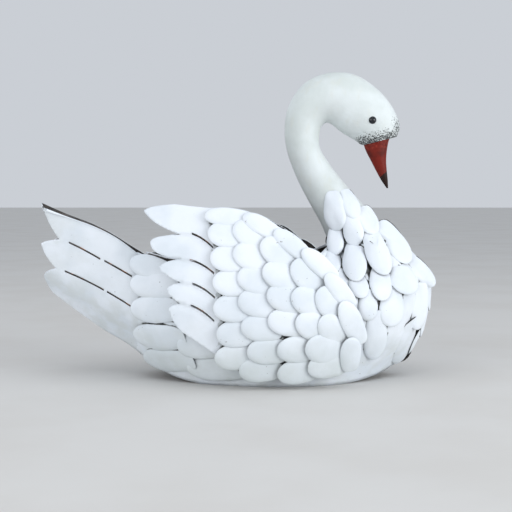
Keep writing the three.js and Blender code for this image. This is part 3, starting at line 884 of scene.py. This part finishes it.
def under_hem(sheet, top_rail):
    """Marks the painted shade that sits under the hem."""
    edge = [smooth_point(top_rail, step / HEM_STEPS) for step in range(HEM_STEPS + 1)]
    line = [(point.x, point.z) for point in edge]

    def shade_under_hem(vertex):
        x, z = vertex.co.x / MM, vertex.co.z / MM
        below = 1 - smooth_step(0, HEM_SHADE["deep"], height_on(line, x) - z)
        return HEM_SHADE["most"] * below * smooth_step(*HEM_SHADE_ENDS, x)

    mark_points(sheet, "shelter", shade_under_hem)


tail_right, tail_form = tail_sheet("tail_sheet_right", TAIL_TOP_RIGHT, TAIL_TIP_RIGHT)
tail_left, _ = tail_sheet("tail_sheet_left", TAIL_TOP_LEFT, TAIL_TIP_LEFT)
under_hem(tail_right, TAIL_TOP_RIGHT)
print("tail sheet:", len(tail_right.data.polygons), "faces")

# %% [markdown]
# ## Turning a right-hand piece into a left-hand one
# The swan's left side mirrors its right. A copy with its own mesh is scaled by minus one across
# the width. That turns every face inside out, so the faces are flipped back. The left
# side was bent by hand too, and came out a little lower towards the stern.

# %% Mirroring
def flip_side(piece):
    """Moves a piece to the other side of the middle plane."""
    edit_all(piece)
    bpy.ops.transform.resize(value=(1, -1, 1), center_override=(0, 0, 0))
    bpy.ops.mesh.flip_normals()
    pick(piece)
    let_down(piece)


def left_copy(piece):
    """A mirrored copy with its own mesh, called left where the piece is called right."""
    pick(piece)
    bpy.ops.object.duplicate()
    twin = named(piece.name.replace("right", "left"))
    flip_side(twin)
    return twin


flip_side(tail_left)
wing_left = left_copy(wing)
print("left side:", tail_left.name, wing_left.name)

# %% [markdown]
# ## Neck and head
# The neck and head are one skin, drawn out of a ring. At each station the ring is extruded,
# turned level, scaled, tilted and moved: that is how a loft is made by hand, and it keeps every
# ring flat. A station is given by the point at the back of the neck, the point at its front, and
# half the width across. With no window the turn operator runs the other way round, which here
# is just the way that a side view counts angles.

# %% Lofting through stations
RING_CORNERS = {"neck": 40, "bill": 28}
RINGS = {"neck": 84, "bill": 30}
NECK = [  # rear point, front point and half-width of each station, from the breast to the face
    ((119, 167.6), (208, 167.6), 36), ((115, 177), (190, 184), 33), ((109, 191), (160, 216), 28),
    ((95, 216), (135, 245), 24.5), ((80, 245), (119.5, 265), 22.5), ((66.8, 280), (107.6, 285), 22),
    ((63.5, 306), (107, 303), 22), ((68.3, 336), (109.8, 311.3), 22.5),
    ((87.5, 364.2), (115, 315.6), 23.5), ((116, 377), (121, 314.4), 25.5),
    ((148, 375.8), (132.5, 305.4), 27), ((177, 358.5), (145, 297.6), 27),
    ((197.5, 334.5), (153, 292.9), 25.5), ((206.6, 311), (159, 288.6), 22),
    ((203, 298.5), (165, 288.5), 16),
]
BILL = [
    ((196, 300), (161.5, 291.5), 11.5), ((193.6, 294.8), (162.6, 286.8), 11.4),
    ((191.2, 283), (165, 280.5), 10.4), ((190.2, 269.5), (171.5, 268), 8.5),
    ((191, 257), (178, 255.5), 6.2), ((192.3, 245), (184.5, 244), 3.6),
    ((192.9, 234.5), (191, 234.7), 0.9),
]


def paint_only(piece, material):
    """Gives a piece this material in place of any that it has."""
    piece.data.materials.clear()
    piece.data.materials.append(material)


def stations(marks, count):
    """Centre, tilt, half-depth and half-width of evenly spread rings."""
    rear = [Vector((x, half, z)) for (x, z), _, half in marks]
    front = [Vector((x, 0, z)) for _, (x, z), _ in marks]
    rings = []
    for step in range(count + 1):
        back = smooth_point(rear, step / count)
        ahead = smooth_point(front, step / count)
        centre = Vector(((back.x + ahead.x) / 2, 0, (back.z + ahead.z) / 2)) * MM
        depth = Vector((ahead.x - back.x, 0, ahead.z - back.z)) * MM
        rings.append((centre, math.atan2(depth.z, depth.x), depth.length / 2, back.y * MM))
    return rings


def loft(name, marks, kind):
    """A closed skin through the stations, with the rings and corners of its kind."""
    pick()
    rings = stations(marks, RINGS[kind])
    bpy.ops.mesh.primitive_circle_add(vertices=RING_CORNERS[kind], radius=1, fill_type="NGON")
    skin = named(name)
    edit_all(skin)
    before = (Vector((0, 0, 0)), 0.0, 1.0, 1.0)
    for ring in rings:
        centre, tilt, depth, half = ring
        if ring is not rings[0]:
            bpy.ops.mesh.extrude_region_move()
        at = before[0]
        bpy.ops.transform.rotate(value=-before[1], orient_axis="Y", center_override=at)
        bpy.ops.transform.resize(value=(depth / before[2], half / before[3], 1), center_override=at)
        bpy.ops.transform.rotate(value=tilt, orient_axis="Y", center_override=at)
        bpy.ops.transform.translate(value=centre - at)
        before = ring
    bpy.ops.mesh.select_all(action="SELECT")
    bpy.ops.mesh.normals_make_consistent(inside=False)
    pick(skin)
    bpy.ops.object.shade_smooth()
    return skin


neck = loft("neck_and_head", NECK, "neck")
neck_form = own_copy(neck)
paint_only(neck, FACE_PAINT)
bill = loft("bill_cone", BILL, "bill")
paint_only(bill, BILL_RED_PAINT)
print("neck and head:", len(neck.data.polygons), "faces")

# %% [markdown]
# ## One oval plate
# Every small feather is the same blank: a tongue of sheet, round at its tip and cut nearly square
# at its root, pressed up like a shallow pillow so that it holds its shape. It is modelled once,
# from a circle whose corners are set on the outline. The rim is extruded, drawn in and lifted
# four times, and a face is poked into the middle. Insets would do it in fewer steps, but they
# cross over in the tight corners of the root. The thickness comes last. On the wing and flank
# the cut edge is painted. The plates of the breast stand off and show theirs, so they come from a
# second blank, a little thicker, whose edge is left bare; that dark edge also stands in for the
# shadow line under each plate. Each point also gets a mark that is 1 at the rim, and the paint
# reads it to put painted shade there.

# %% The blank
PLATE = {"long": 56, "wide": 31.5, "dome": 2.5}
PLATE_THICK = 0.9
# The breast plates' dark bare edge is thicker so that it shows as a shadow line.
BARE_SHADOW_THICK = 1.3
TONGUE = {"tip": 2.15, "root": 3.6, "narrow": 0.9}  # fullness of both ends, and the root's width
RIM_CORNERS = 26
# Share of the outline and of the dome. The last ring is where the face is poked.
DOME_RINGS = [(0.955, 0.36), (0.85, 0.74), (0.62, 0.96), (0.3, 1.0)]
RIM_SHADE_TO = 0.74  # share of the dome where the rim's mark has faded out
DOME_GROWS = (-0.25, 0.5)  # shares of the length between which the dome rises from the root
CREASE = 50  # degrees, a sharper corner isn't shaded smooth


def plate_corner(turn):
    """A corner of the outline at that turn from the tip. Its root lies at 0."""
    along, across = math.cos(turn), math.sin(turn)
    power = 2 / (TONGUE["tip"] if along > 0 else TONGUE["root"])
    along = math.copysign(abs(along) ** power, along)
    across = math.copysign(abs(across) ** power, across)
    width = 1 - (1 - TONGUE["narrow"]) * smooth_step(0.2, -1, along)
    return Vector((PLATE["long"] / 2 * (1 + along), PLATE["wide"] / 2 * across * width, 0))


def oval_plate(name, rim_side, thick):
    """The blank. Its cut edge is painted like side 0, or bare like side 1."""
    pick()
    bpy.ops.mesh.primitive_circle_add(vertices=RIM_CORNERS, radius=1, fill_type="NGON")
    plate = named(name)
    for vertex in plate.data.vertices:
        vertex.co = plate_corner(math.atan2(vertex.co.y, vertex.co.x)) * MM
    edit_all(plate)
    middle = Vector((PLATE["long"] / 2 * MM, 0, 0))
    size, height = 1.0, 0.0
    for ring, rise in DOME_RINGS:
        bpy.ops.mesh.extrude_region_move()
        bpy.ops.transform.resize(value=(ring / size, ring / size, 1), center_override=middle)
        bpy.ops.transform.translate(value=(0, 0, (rise - height) * PLATE["dome"] * MM))
        size, height = ring, rise
    bpy.ops.mesh.poke()
    bpy.ops.mesh.select_face_by_sides(number=RIM_CORNERS, extend=False)
    bpy.ops.mesh.delete(type="ONLY_FACE")  # the first face stays behind at the bottom
    pick(plate)
    if sum(face.normal.z for face in plate.data.polygons) < 0:
        plate.data.flip_normals()
    faded = RIM_SHADE_TO * PLATE["dome"] * MM
    mark_points(plate, "rim", lambda vertex: max(1 - vertex.co.z / faded, 0))
    for vertex in plate.data.vertices:
        vertex.co.z *= smooth_step(*DOME_GROWS, vertex.co.x / (PLATE["long"] * MM))
    plate.data.materials.append(PLATE_WHITE)
    plate.data.materials.append(DARK_STEEL)
    sides = {"material_offset": 1, "material_offset_rim": rim_side}
    treat(plate, "SOLIDIFY", thickness=thick * MM, offset=-1, **sides)
    bpy.ops.object.shade_smooth_by_angle(angle=math.radians(CREASE))
    return plate


plate = oval_plate("oval_plate", 0, PLATE_THICK)
bare_shadow_edged = oval_plate("bare_edged_plate", 1, BARE_SHADOW_THICK)
print("plate:", len(plate.data.polygons), "faces")

# %% [markdown]
# ## Laying a plate on a form
# A plate is placed in one of two ways. In the wing's columns it is placed by where the middle of
# its showing part appears from the side, and by how far its tip is turned from straight back. A
# line shot across the swan finds the skin there. Its points are carried over to that place and follow
# the skin's rise and fall, and it is lifted towards the tip by the slope and towards the lower
# edge by the roll. So each plate covers the roots behind it and the upper edge of the one below,
# as slates do. Everywhere else a plate hangs between two marks, the top of its showing part and
# its tip. It is stiff there: it bridges the hollow under the neck, and is only pushed out where
# the form is prouder than the plate. A mark on the middle plane is carried across to the form,
# and any other mark is the place itself.

# %% Laying plates
GRIP = 0.62  # share of a plate from its root to the middle of what shows
SHOWN = 0.86  # share of a hung plate that shows
BEND_LIMIT = 7  # the furthest that a laid plate is bent onto its form, mm
HUG_LIMIT = 8  # the furthest that a hung one is pushed out, mm
SEAT_ABOVE = 7  # a line may meet the form this much higher, mm
FAR = 400  # mm, well clear of the swan
EDGE_ON = 0.7  # a plate seen more edge-on than this isn't widened any more
SPREAD = {"size": 0.02, "laid": 0.012, "hung": 0.01}  # how far hand work strays either way
FULL_WIDTH_AT = 0.7  # share of a tapered plate's length from its root to its full width


def seen_from_side(form, x, z):
    """The place and the normal where a line across the swan meets a form."""
    seat, normal, _, _ = form.ray_cast(Vector((x, -FAR, z)) * MM, Vector((0, 1, 0)))
    return seat, normal


def stray(kind, around=0.0):
    return chance.uniform(around - SPREAD[kind], around + SPREAD[kind])


def copy_plate(blank):
    """A copy of a blank, painted a little lighter or darker than the others."""
    pick(blank)
    bpy.ops.object.duplicate()
    copy = bpy.context.object
    shade = chance.random()
    mark_points(copy, "tone", lambda vertex: shade)
    return copy


def lay_plate(form, spot, turn, long, wide, slope, roll):
    """A copy of the blank, bent onto a form."""
    seat, normal = seen_from_side(form, *spot)
    heading = math.radians(turn)
    ahead = Vector((-math.cos(heading), 0, math.sin(heading)))
    ahead = (ahead - normal * normal.dot(ahead)).normalized()
    across = normal.cross(ahead)
    copy = copy_plate(plate)
    long = long * stray("size", 1)
    wide = wide * stray("size", 1)
    lean = roll + stray("laid")
    rise = slope + stray("laid")
    limit = BEND_LIMIT * MM
    for vertex in copy.data.vertices:
        along = vertex.co.x * long
        aside = vertex.co.y * wide
        flat = seat + ahead * (along - GRIP * PLATE["long"] * MM * long) + across * aside
        nearest, _, _, _ = form.find_nearest(flat)
        sink = within((nearest - flat).dot(normal), -limit, limit)
        height = vertex.co.z + rise * along + lean * aside
        vertex.co = flat + normal * (sink + height)
    return copy


def seat_on(form, mark, direction):
    """Where a line through the mark, or one just above it, first meets a form."""
    near, normal, _, _ = form.find_nearest(Vector(mark) * MM)
    if mark[1] != 0:
        return Vector(mark) * MM, normal  # off the middle plane a mark is the place itself
    start = Vector(mark) * MM - direction * FAR * MM
    hits = [form.ray_cast(start + Vector((0, 0, up * MM)), direction) for up in (0, SEAT_ABOVE)]
    met = [(distance, facing) for _, facing, _, distance in hits if distance is not None]
    if met:
        distance, facing = min(met, key=lambda hit: hit[0])
        return start + direction * distance, facing
    return start + direction * (near - start).dot(direction), normal


def hang_plate(
    form, marks, wide, slope,
    lift=0.3, curl=70, taper=0.8, face=0.6, ray=(0, 1, 0), blank=None,
):
    """A copy of a blank, stiff, hung between two marks that are seen along the ray."""
    view = Vector(ray)
    (top, top_normal), (tip, tip_normal) = [seat_on(form, mark, view) for mark in marks]
    ahead = (tip - top).normalized()
    shown = (tip - top).length
    normal = top_normal + tip_normal - 2 * face * view
    if abs(tip.y) + abs(top.y) < 1 * MM:
        normal.y = 0  # a plate on the middle line looks straight ahead
    normal = (normal - ahead * normal.dot(ahead)).normalized()
    across = normal.cross(ahead)
    drift = normal - view * normal.dot(view)  # how a lift shifts what is seen
    wide = wide / max((across - view * across.dot(view)).length, EDGE_ON)
    long = shown / SHOWN
    rise = slope + stray("hung")
    copy = copy_plate(blank or plate)
    for vertex in copy.data.vertices:
        share = vertex.co.x / (PLATE["long"] * MM)
        along = share * long
        width = taper + (1 - taper) * smooth_step(0, FULL_WIDTH_AT, share)
        aside = vertex.co.y * wide / PLATE["wide"] * width
        flat = top + ahead * (along - long + shown) + across * aside
        flat -= normal * aside * aside / (2 * curl * MM)
        nearest, _, _, _ = form.find_nearest(flat)
        sink = within((nearest - flat).dot(normal), 0, HUG_LIMIT * MM)
        height = rise * along + lift * MM
        seen_shift = drift * (height + PLATE["dome"] / 2 * MM)
        vertex.co = flat + normal * (sink + vertex.co.z + height) - seen_shift
    return copy


def hung(form, places, **settings):
    """Plates between marks on the middle plane, each given by x and z."""
    return [
        hang_plate(form, [(x0, 0, z0), (x1, 0, z1)], wide, slope, **settings)
        for (x0, z0), (x1, z1), wide, slope in places
    ]


def gather(name, plates):
    """Joins plates into one piece."""
    pick(*plates)
    bpy.ops.object.join()
    return named(name)


# %% [markdown]
# ## Wing plates
# On the wing the plates hang in columns, from the top of each column downwards, and the columns
# fan round towards the front. A last row runs along the top and front edge, where each plate
# covers the roots of the ones below. The places are those of the real swan, one list a column.

# %% Places of the wing plates: x, z and turn
WING_COLUMNS = [
    [(-9, 181, 5), (-6, 154, 3), (-3, 127, 1), (-2, 98, -1), (1, 68, -3), (-1, 40, -5)],
    [(19, 183, 30), (20, 157, 22), (25, 131, 16), (26, 105, 12), (29, 76, 6), (36, 48, 3),
     (27, 25, 0)],
    [(50, 163, 37), (53, 136, 24), (58, 111, 18), (59, 83, 14), (70, 50, 6), (71, 22, 0)],
    [(83, 138, 45), (84, 107, 34), (89, 79, 32), (103, 50, 32), (105, 29, 8)],
    [(110, 106, 52), (113, 75, 52)],
]
WING_BORDER = [  # the top of what shows, the tip, and the width, from the rear to the front
    ((13, 201), (-32, 204), 22), ((50, 183), (13, 204), 22), ((85, 158), (49, 187), 22),
    ((116, 134), (81, 165), 23), ((137, 102), (108, 137), 23), ((149, 60), (127, 105), 27),
    ((139, 25), (139, 62), 26),
]
BORDER_SLOPE = 0.09
BIG_PLATE = (103, 50)
PLATE_SIZES = {"usual": 1.05, "big": 1.2}  # against the blank
SHORTER = 0.84  # a laid plate's length against its width


def wing_plates():
    plates = []
    for x, z, turn in sum(WING_COLUMNS, []):
        size = PLATE_SIZES["big" if (x, z) == BIG_PLATE else "usual"]
        plates.append(lay_plate(wing_form, (x, z), turn, SHORTER * size, size, 0.12, 0.07))
    border = [(*row, BORDER_SLOPE) for row in WING_BORDER]
    return plates + hung(wing_form, border, lift=2.5, taper=0.95, face=0.2)


feathers_right = gather("wing_plates_right", wing_plates())
feathers_left = left_copy(feathers_right)
print("wing plates:", len(feathers_right.data.polygons), "faces a side")

# %% [markdown]
# ## Flank and breast plates
# Behind the wing two columns of plates hide the joint of trunk and tail. In front, rings of
# plates hang from the neck down over the shoulder and breast like a bib. The upper ones stand
# well off the skin, with dark gaps between them, and the lower ones lie close. Four plates a
# side stand off the most, beside the throat and the bow. As they have no form right behind them,
# they are given by real places. Four more hang down the middle of the bow, bent round it. Each
# line gives the top and the tip of what shows, the width, and how far the plate slopes off the
# form. The left bib was welded on a little further forward.

# %% Places of the flank and breast plates, by x and z
FLANK = [
    ((-79, 137), (-124, 147), 29, 0.10), ((-72, 120), (-124, 120), 34, 0.10),
    ((-71, 92), (-124, 89), 34, 0.10), ((-65, 58), (-123, 54), 35, 0.10),
    ((-55, 29), (-112, 24), 33, 0.08), ((-21, 49), (-66, 49), 32, 0.06),
    ((4, 21), (-55, 20), 32, 0.05),
]
BREAST = [  # from the lowest ring to the highest
    ((170, 82), (170, 29), 33, 0.03), ((217, 66), (211, 16), 39, 0.03),
    ((160, 111), (159, 79), 27, 0.05), ((190, 111), (189, 70), 36, 0.08),
    ((149, 131), (149, 107), 27, 0.14), ((177, 137), (175, 103), 30, 0.15),
    ((205, 137), (208.5, 108), 41, 0.20), ((123, 159), (119, 137), 22, 0.10),
    ((149, 167), (144, 126), 31, 0.13), ((168.5, 181), (182.5, 132), 31, 0.13),
    ((125, 185), (124, 154), 22, 0.10), ((146, 204), (148, 164), 26.5, 0.10),
    ((122, 225), (127, 182), 29, 0.06), ((139, 229), (151, 198), 24, 0.07),
]
BOW = [  # seen from the front
    ((0, 62), (0, 26), 28, 0.04), ((0, 92), (0, 47), 30, 0.04),
    ((0, 128), (0, 81), 32, 0.05), ((0, 168), (0, 121), 34, 0.03),
]
STAND_OFF = [  # by x, y and z
    ([(185, -16, 187), (215, -29, 143.5)], 33, 0.10),
    ([(161, -17, 208), (172, -24, 177)], 28, 0.10),
    ([(206, -21, 154), (250, -12, 115)], 26, 0.12),
    ([(230, -37, 112), (225.5, -34, 61)], 26, 0.04),
]
LEFT_BIB_AHEAD = 3  # mm
# Stand-off plates whose dark bare edge also stands in for the shadow line under them.
BARE_SHADOW_EDGED = {"taper": 0.9, "blank": bare_shadow_edged}

stern_form = form_of(trunk_form, tail_right)
breast_form = form_of(trunk_form, neck_form)
flank_right = gather("flank_plates_right", hung(stern_form, FLANK, taper=0.95, curl=120, face=0.3))
flank_left = left_copy(flank_right)
bib = hung(breast_form, BREAST, blank=bare_shadow_edged)
bib += [hang_plate(breast_form, *place, face=1.2, **BARE_SHADOW_EDGED) for place in STAND_OFF]
bib_right = gather("breast_plates_right", bib)
bib_left = left_copy(bib_right)
edit_all(bib_left)
bpy.ops.transform.translate(value=(LEFT_BIB_AHEAD * MM, 0, 0))
bow_plates = hung(breast_form, BOW, ray=(-1, 0, 0), curl=24, face=0, **BARE_SHADOW_EDGED)
bow_row = gather("breast_plates_front", bow_plates)
print("breast plates:", 2 * len(bib) + len(bow_plates), "in all")

# %% [markdown]
# ## Painted shade behind the plates
# The gaps between plates look black on the real swan, where the sheet behind them lies in shade.
# That shade is painted on the sheet. From each point of a sheet nine short lines are shot
# outwards, one straight and eight slanting, and the share of them that meets a plate says how
# sheltered the point is. The paint reads that mark and turns grey, then near black. High up on
# the neck no shade is painted.

# %% Sheltered places
SHELTER_REACH = 22  # length of the lines, mm
SHELTER_START = 0.3  # how far off the sheet they start, mm
SHELTER_SPREAD = 2.0  # sideways part of the slanting lines
SHELTER_LINES = 8
SHELTER_TOP = (205, 195)  # on the neck, no shelter above the first height, full below the second


def mark_shelter(sheet, cover):
    """Marks how much of the sky over each point the plates take up."""

    def shelter(vertex):
        normal = vertex.normal
        aside = normal.orthogonal().normalized()
        beside = normal.cross(aside)
        lines = [normal]
        for step in range(SHELTER_LINES):
            turn = math.tau * step / SHELTER_LINES
            sideways = aside * math.cos(turn) + beside * math.sin(turn)
            lines.append((normal + sideways * SHELTER_SPREAD).normalized())
        start = vertex.co + normal * SHELTER_START * MM
        met = [cover.ray_cast(start, line, SHELTER_REACH * MM)[0] for line in lines]
        below = smooth_step(*SHELTER_TOP, vertex.co.z / MM) if sheet is neck else 1
        return below * sum(hit is not None for hit in met) / len(lines)

    mark_points(sheet, "shelter", shelter)


trunk_cover = form_of(flank_right, flank_left, bib_right, bib_left, bow_row)
mark_shelter(trunk, trunk_cover)
mark_shelter(neck, trunk_cover)
mark_shelter(wing, form_of(feathers_right))
mark_shelter(wing_left, form_of(feathers_left))
for spare in (plate, bare_shadow_edged, trunk_form, neck_form):
    bpy.data.objects.remove(spare)
sheltered = [mark.value for mark in trunk.data.attributes["shelter"].data]
print("mean shelter of the trunk:", round(sum(sheltered) / len(sheltered), 3))

# %% [markdown]
# ## Rusty lips of the slots, and the hem of the tail
# Along the upper side of each slot the punch left a raw edge that has rusted. It is a very thin
# bead of metal, so it is a path with a round section, laid on the sheet and turned into a mesh.
# The top edge of each tail sheet is rolled over into a hem, thick at the tip and thin further
# on. That is the same path, with a radius of its own at each point.

# %% Beads along a path
LIP_RADIUS = 0.34
LIP_STEPS = 10
LIP_PROUD = 0.1  # how far its middle stands off the sheet, mm
HEM_POINTS = 40
HEM_PAST = 0.5  # how far past the tip the roll may go, mm
HEM_SIDE = Vector((0, -0.5, -0.7))  # from the edge to the middle of the roll, in radii
HEM_RIGHT = [(-230, 2.3), (-214, 1.7), (-200, 0.8), (-112, 0.5)]  # x and radius
HEM_LEFT = [(-260, 0.9), (-112, 0.5)]


def bead_path(points, radii):
    """A round bead through the points, in metres, closed at both ends."""
    pick()
    bpy.ops.curve.primitive_nurbs_path_add()
    path = bpy.context.object
    line = path.data.splines.new("POLY")
    path.data.splines.remove(path.data.splines[0])
    line.points.add(len(points) - 1)
    for point, place, radius in zip(line.points, points, radii):
        point.co = (*place, 1)
        point.radius = radius
    path.data.bevel_depth = MM
    path.data.bevel_resolution = 1
    path.data.use_fill_caps = True
    bpy.ops.object.convert(target="MESH")
    bpy.ops.object.shade_smooth()
    return bpy.context.object


def slot_lip(form, slot):
    """A thin bead along the upper side of a slot."""
    points = []
    for x, z in slot_line(slot, SLOT_WIDTH / 2, LIP_STEPS):
        seat, normal = seen_from_side(form, x, z)
        points.append(seat + normal * LIP_PROUD * MM)
    return bead_path(points, [LIP_RADIUS] * len(points))


def lips(name, form, slots):
    group = gather(name, [slot_lip(form, slot) for slot in slots])
    paint_only(group, CUT_EDGE)
    return group


def hem(name, top_rail, tip, radii):
    """A roll along the top edge of a tail sheet, outside it."""
    points, sizes = [], []
    for step in range(HEM_POINTS + 1):
        point = smooth_point(top_rail, step / HEM_POINTS)
        if point.x >= tip[0] - HEM_PAST:
            radius = height_on(radii, point.x)
            points.append((point + HEM_SIDE * radius) * MM)
            sizes.append(radius)
    bead_path(points, sizes)
    roll = named(name)
    paint_only(roll, SHEET_WHITE)
    return roll


lips_right = lips("wing_slot_lips_right", wing_form, WING_SLOTS)
lips_left = left_copy(lips_right)
tail_lips_right = lips("tail_slot_lips_right", tail_form, TAIL_SLOTS)
tail_lips_left = left_copy(tail_lips_right)
hem_right = hem("tail_hem_right", TAIL_TOP_RIGHT, TAIL_TIP_RIGHT, HEM_RIGHT)
hem_left = hem("tail_hem_left", TAIL_TOP_LEFT, TAIL_TIP_LEFT, HEM_LEFT)
flip_side(hem_left)
print("lips a wing:", len(WING_SLOTS), "and a tail sheet:", len(TAIL_SLOTS))

# %% [markdown]
# ## Eyes
# Each eye is a black bead pressed into the head. The frame knows where: the middle of its eye
# and its size. The bead is a little larger, as paint has built up round it.

# %% Beads
EYE_SWELL = 1.1


def bead(node):
    low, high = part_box(node)
    radius = EYE_SWELL * (high.z - low.z) / 2
    pick()
    bpy.ops.mesh.primitive_uv_sphere_add(
        segments=32, ring_count=16, radius=radius, location=(low + high) / 2
    )
    ball = named(node + "_bead")
    bpy.ops.object.transform_apply(location=True, rotation=True, scale=True)
    bpy.ops.object.shade_smooth()
    paint_only(ball, BEAD_BLACK)
    return ball


eyes = [bead(node) for node in ("eye_right", "eye_left")]
print("eyes:", [eye.name for eye in eyes])

# %% [markdown]
# ## Straps
# The folded straps that carry the wings are right as the frame has them. They only need the
# look of bare steel.

# %% Dress the straps
straps = [piece for node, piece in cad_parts.items() if node.startswith("wing_strap")]
for strap in straps:
    paint_only(strap, DARK_STEEL)
print("straps:", len(straps))

# %% [markdown]
# ## Ride on the body and hide the solids
# Every piece rides on the swan's one body, and the solids that it stands for are hidden. Each
# line also names the finish that the piece has in the record, but that name isn't used here.

# %% Ride and replace
ROLES = [
    (trunk, "white_paint", ["trunk_right", "trunk_left"]),
    (pan, "bare_steel", ["bottom_pan"]),
    (tail_right, "white_paint", ["tail_right"]),
    (tail_left, "white_paint", ["tail_left"]),
    (wing, "white_paint", ["wing_right"]),
    (wing_left, "white_paint", ["wing_left"]),
    (neck, "white_paint", ["neck", "head"]),
    (bill, "red_paint", ["bill"]),
    (eyes[0], "black_bead", ["eye_right"]),
    (eyes[1], "black_bead", ["eye_left"]),
    (feathers_right, "white_paint", ["wing_right"]),
    (feathers_left, "white_paint", ["wing_left"]),
    (flank_right, "white_paint", ["trunk_right"]),
    (flank_left, "white_paint", ["trunk_left"]),
    (bib_right, "white_paint", ["trunk_right"]),
    (bib_left, "white_paint", ["trunk_left"]),
    (bow_row, "white_paint", ["trunk_right"]),
    (lips_right, "bare_steel", ["wing_right"]),
    (lips_left, "bare_steel", ["wing_left"]),
    (tail_lips_right, "bare_steel", ["tail_right"]),
    (tail_lips_left, "bare_steel", ["tail_left"]),
    (hem_right, "white_paint", ["tail_right"]),
    (hem_left, "white_paint", ["tail_left"]),
]
for piece, slot, nodes in ROLES:
    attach(piece, "root")
    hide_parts(*nodes)
print("pieces:", len(ROLES))

# %% [markdown]
# ## Floor, light and camera
# The swan stands on a plain pale floor. The light is that of a bright, overcast day. Most of it
# comes from a pale sky all round. Three large soft lamps give it a direction: a weak one
# overhead, one at the camera's left, and the strongest low down in front of the swan's breast.
# The camera looks at the right side from a little above, through a long lens.

# %% Stage
FLOOR_SIZE = 24
FLOOR_GREY = (0.66, 0.655, 0.64)
FLOOR_DUST = (0.63, 0.62, 0.60)
SKY = (0.80, 0.84, 0.90)
SKY_STRENGTH = 0.74
LAMPS = {  # place and size in metres, and watts
    "overhead": ((-0.15, -0.45, 2.3), 2.2, 9),
    "camera_left": ((-1.5, -1.8, 0.6), 1.8, 22),
    "front_low": ((2.0, -1.2, 0.45), 1.6, 38),
}
LAMPS_AIM = Vector((0, 0, 0.17))  # the middle of the swan
CAMERA_PLACE = (28, -1400, 235)
CAMERA_DOWN = 3.48  # degrees
CAMERA_NEAREST = 0.05
FOCAL_PIXELS = 1120
PICTURE = 512
SENSOR = 36


def add_floor():
    pick()
    bpy.ops.mesh.primitive_plane_add(size=FLOOR_SIZE)
    floor = named("floor")
    ground = Finish("floor_paint")
    clouds = ground.noise(180, 4).ramp(0.35, 0.7)
    colour = ground.blend(clouds, FLOOR_GREY, FLOOR_DUST)
    ground.feed(Base_Color=colour, Roughness=0.75 + 0.1 * ground.noise(20, 3))
    floor.data.materials.append(ground.material)
    return floor


def add_lamp(name, place, size, watts):
    """A square soft lamp that looks at the middle of the swan."""
    pick()
    bpy.ops.object.light_add(type="AREA", location=place)
    lamp = bpy.context.object
    lamp.name = name
    lamp.data.shape = "SQUARE"
    lamp.data.size = size
    lamp.data.energy = watts
    lamp.rotation_euler = (LAMPS_AIM - Vector(place)).to_track_quat("-Z", "Y").to_euler()


def add_camera():
    pick()
    tilt = math.radians(90 - CAMERA_DOWN)
    bpy.ops.object.camera_add(location=Vector(CAMERA_PLACE) * MM, rotation=(tilt, 0, 0))
    camera = bpy.context.object
    camera.data.sensor_width = SENSOR
    camera.data.lens = FOCAL_PIXELS / PICTURE * SENSOR
    camera.data.clip_start = CAMERA_NEAREST
    bpy.context.scene.camera = camera


def add_sky():
    world = bpy.data.worlds.new("sky")
    bpy.context.scene.world = world
    world.use_nodes = True
    background = world.node_tree.nodes["Background"]
    background.inputs["Color"].default_value = (*SKY, 1)
    background.inputs["Strength"].default_value = SKY_STRENGTH


add_floor()
for name, settings in LAMPS.items():
    add_lamp(name, *settings)
add_camera()
add_sky()
bpy.context.scene.view_settings.view_transform = "Standard"
print("lamps:", list(LAMPS))
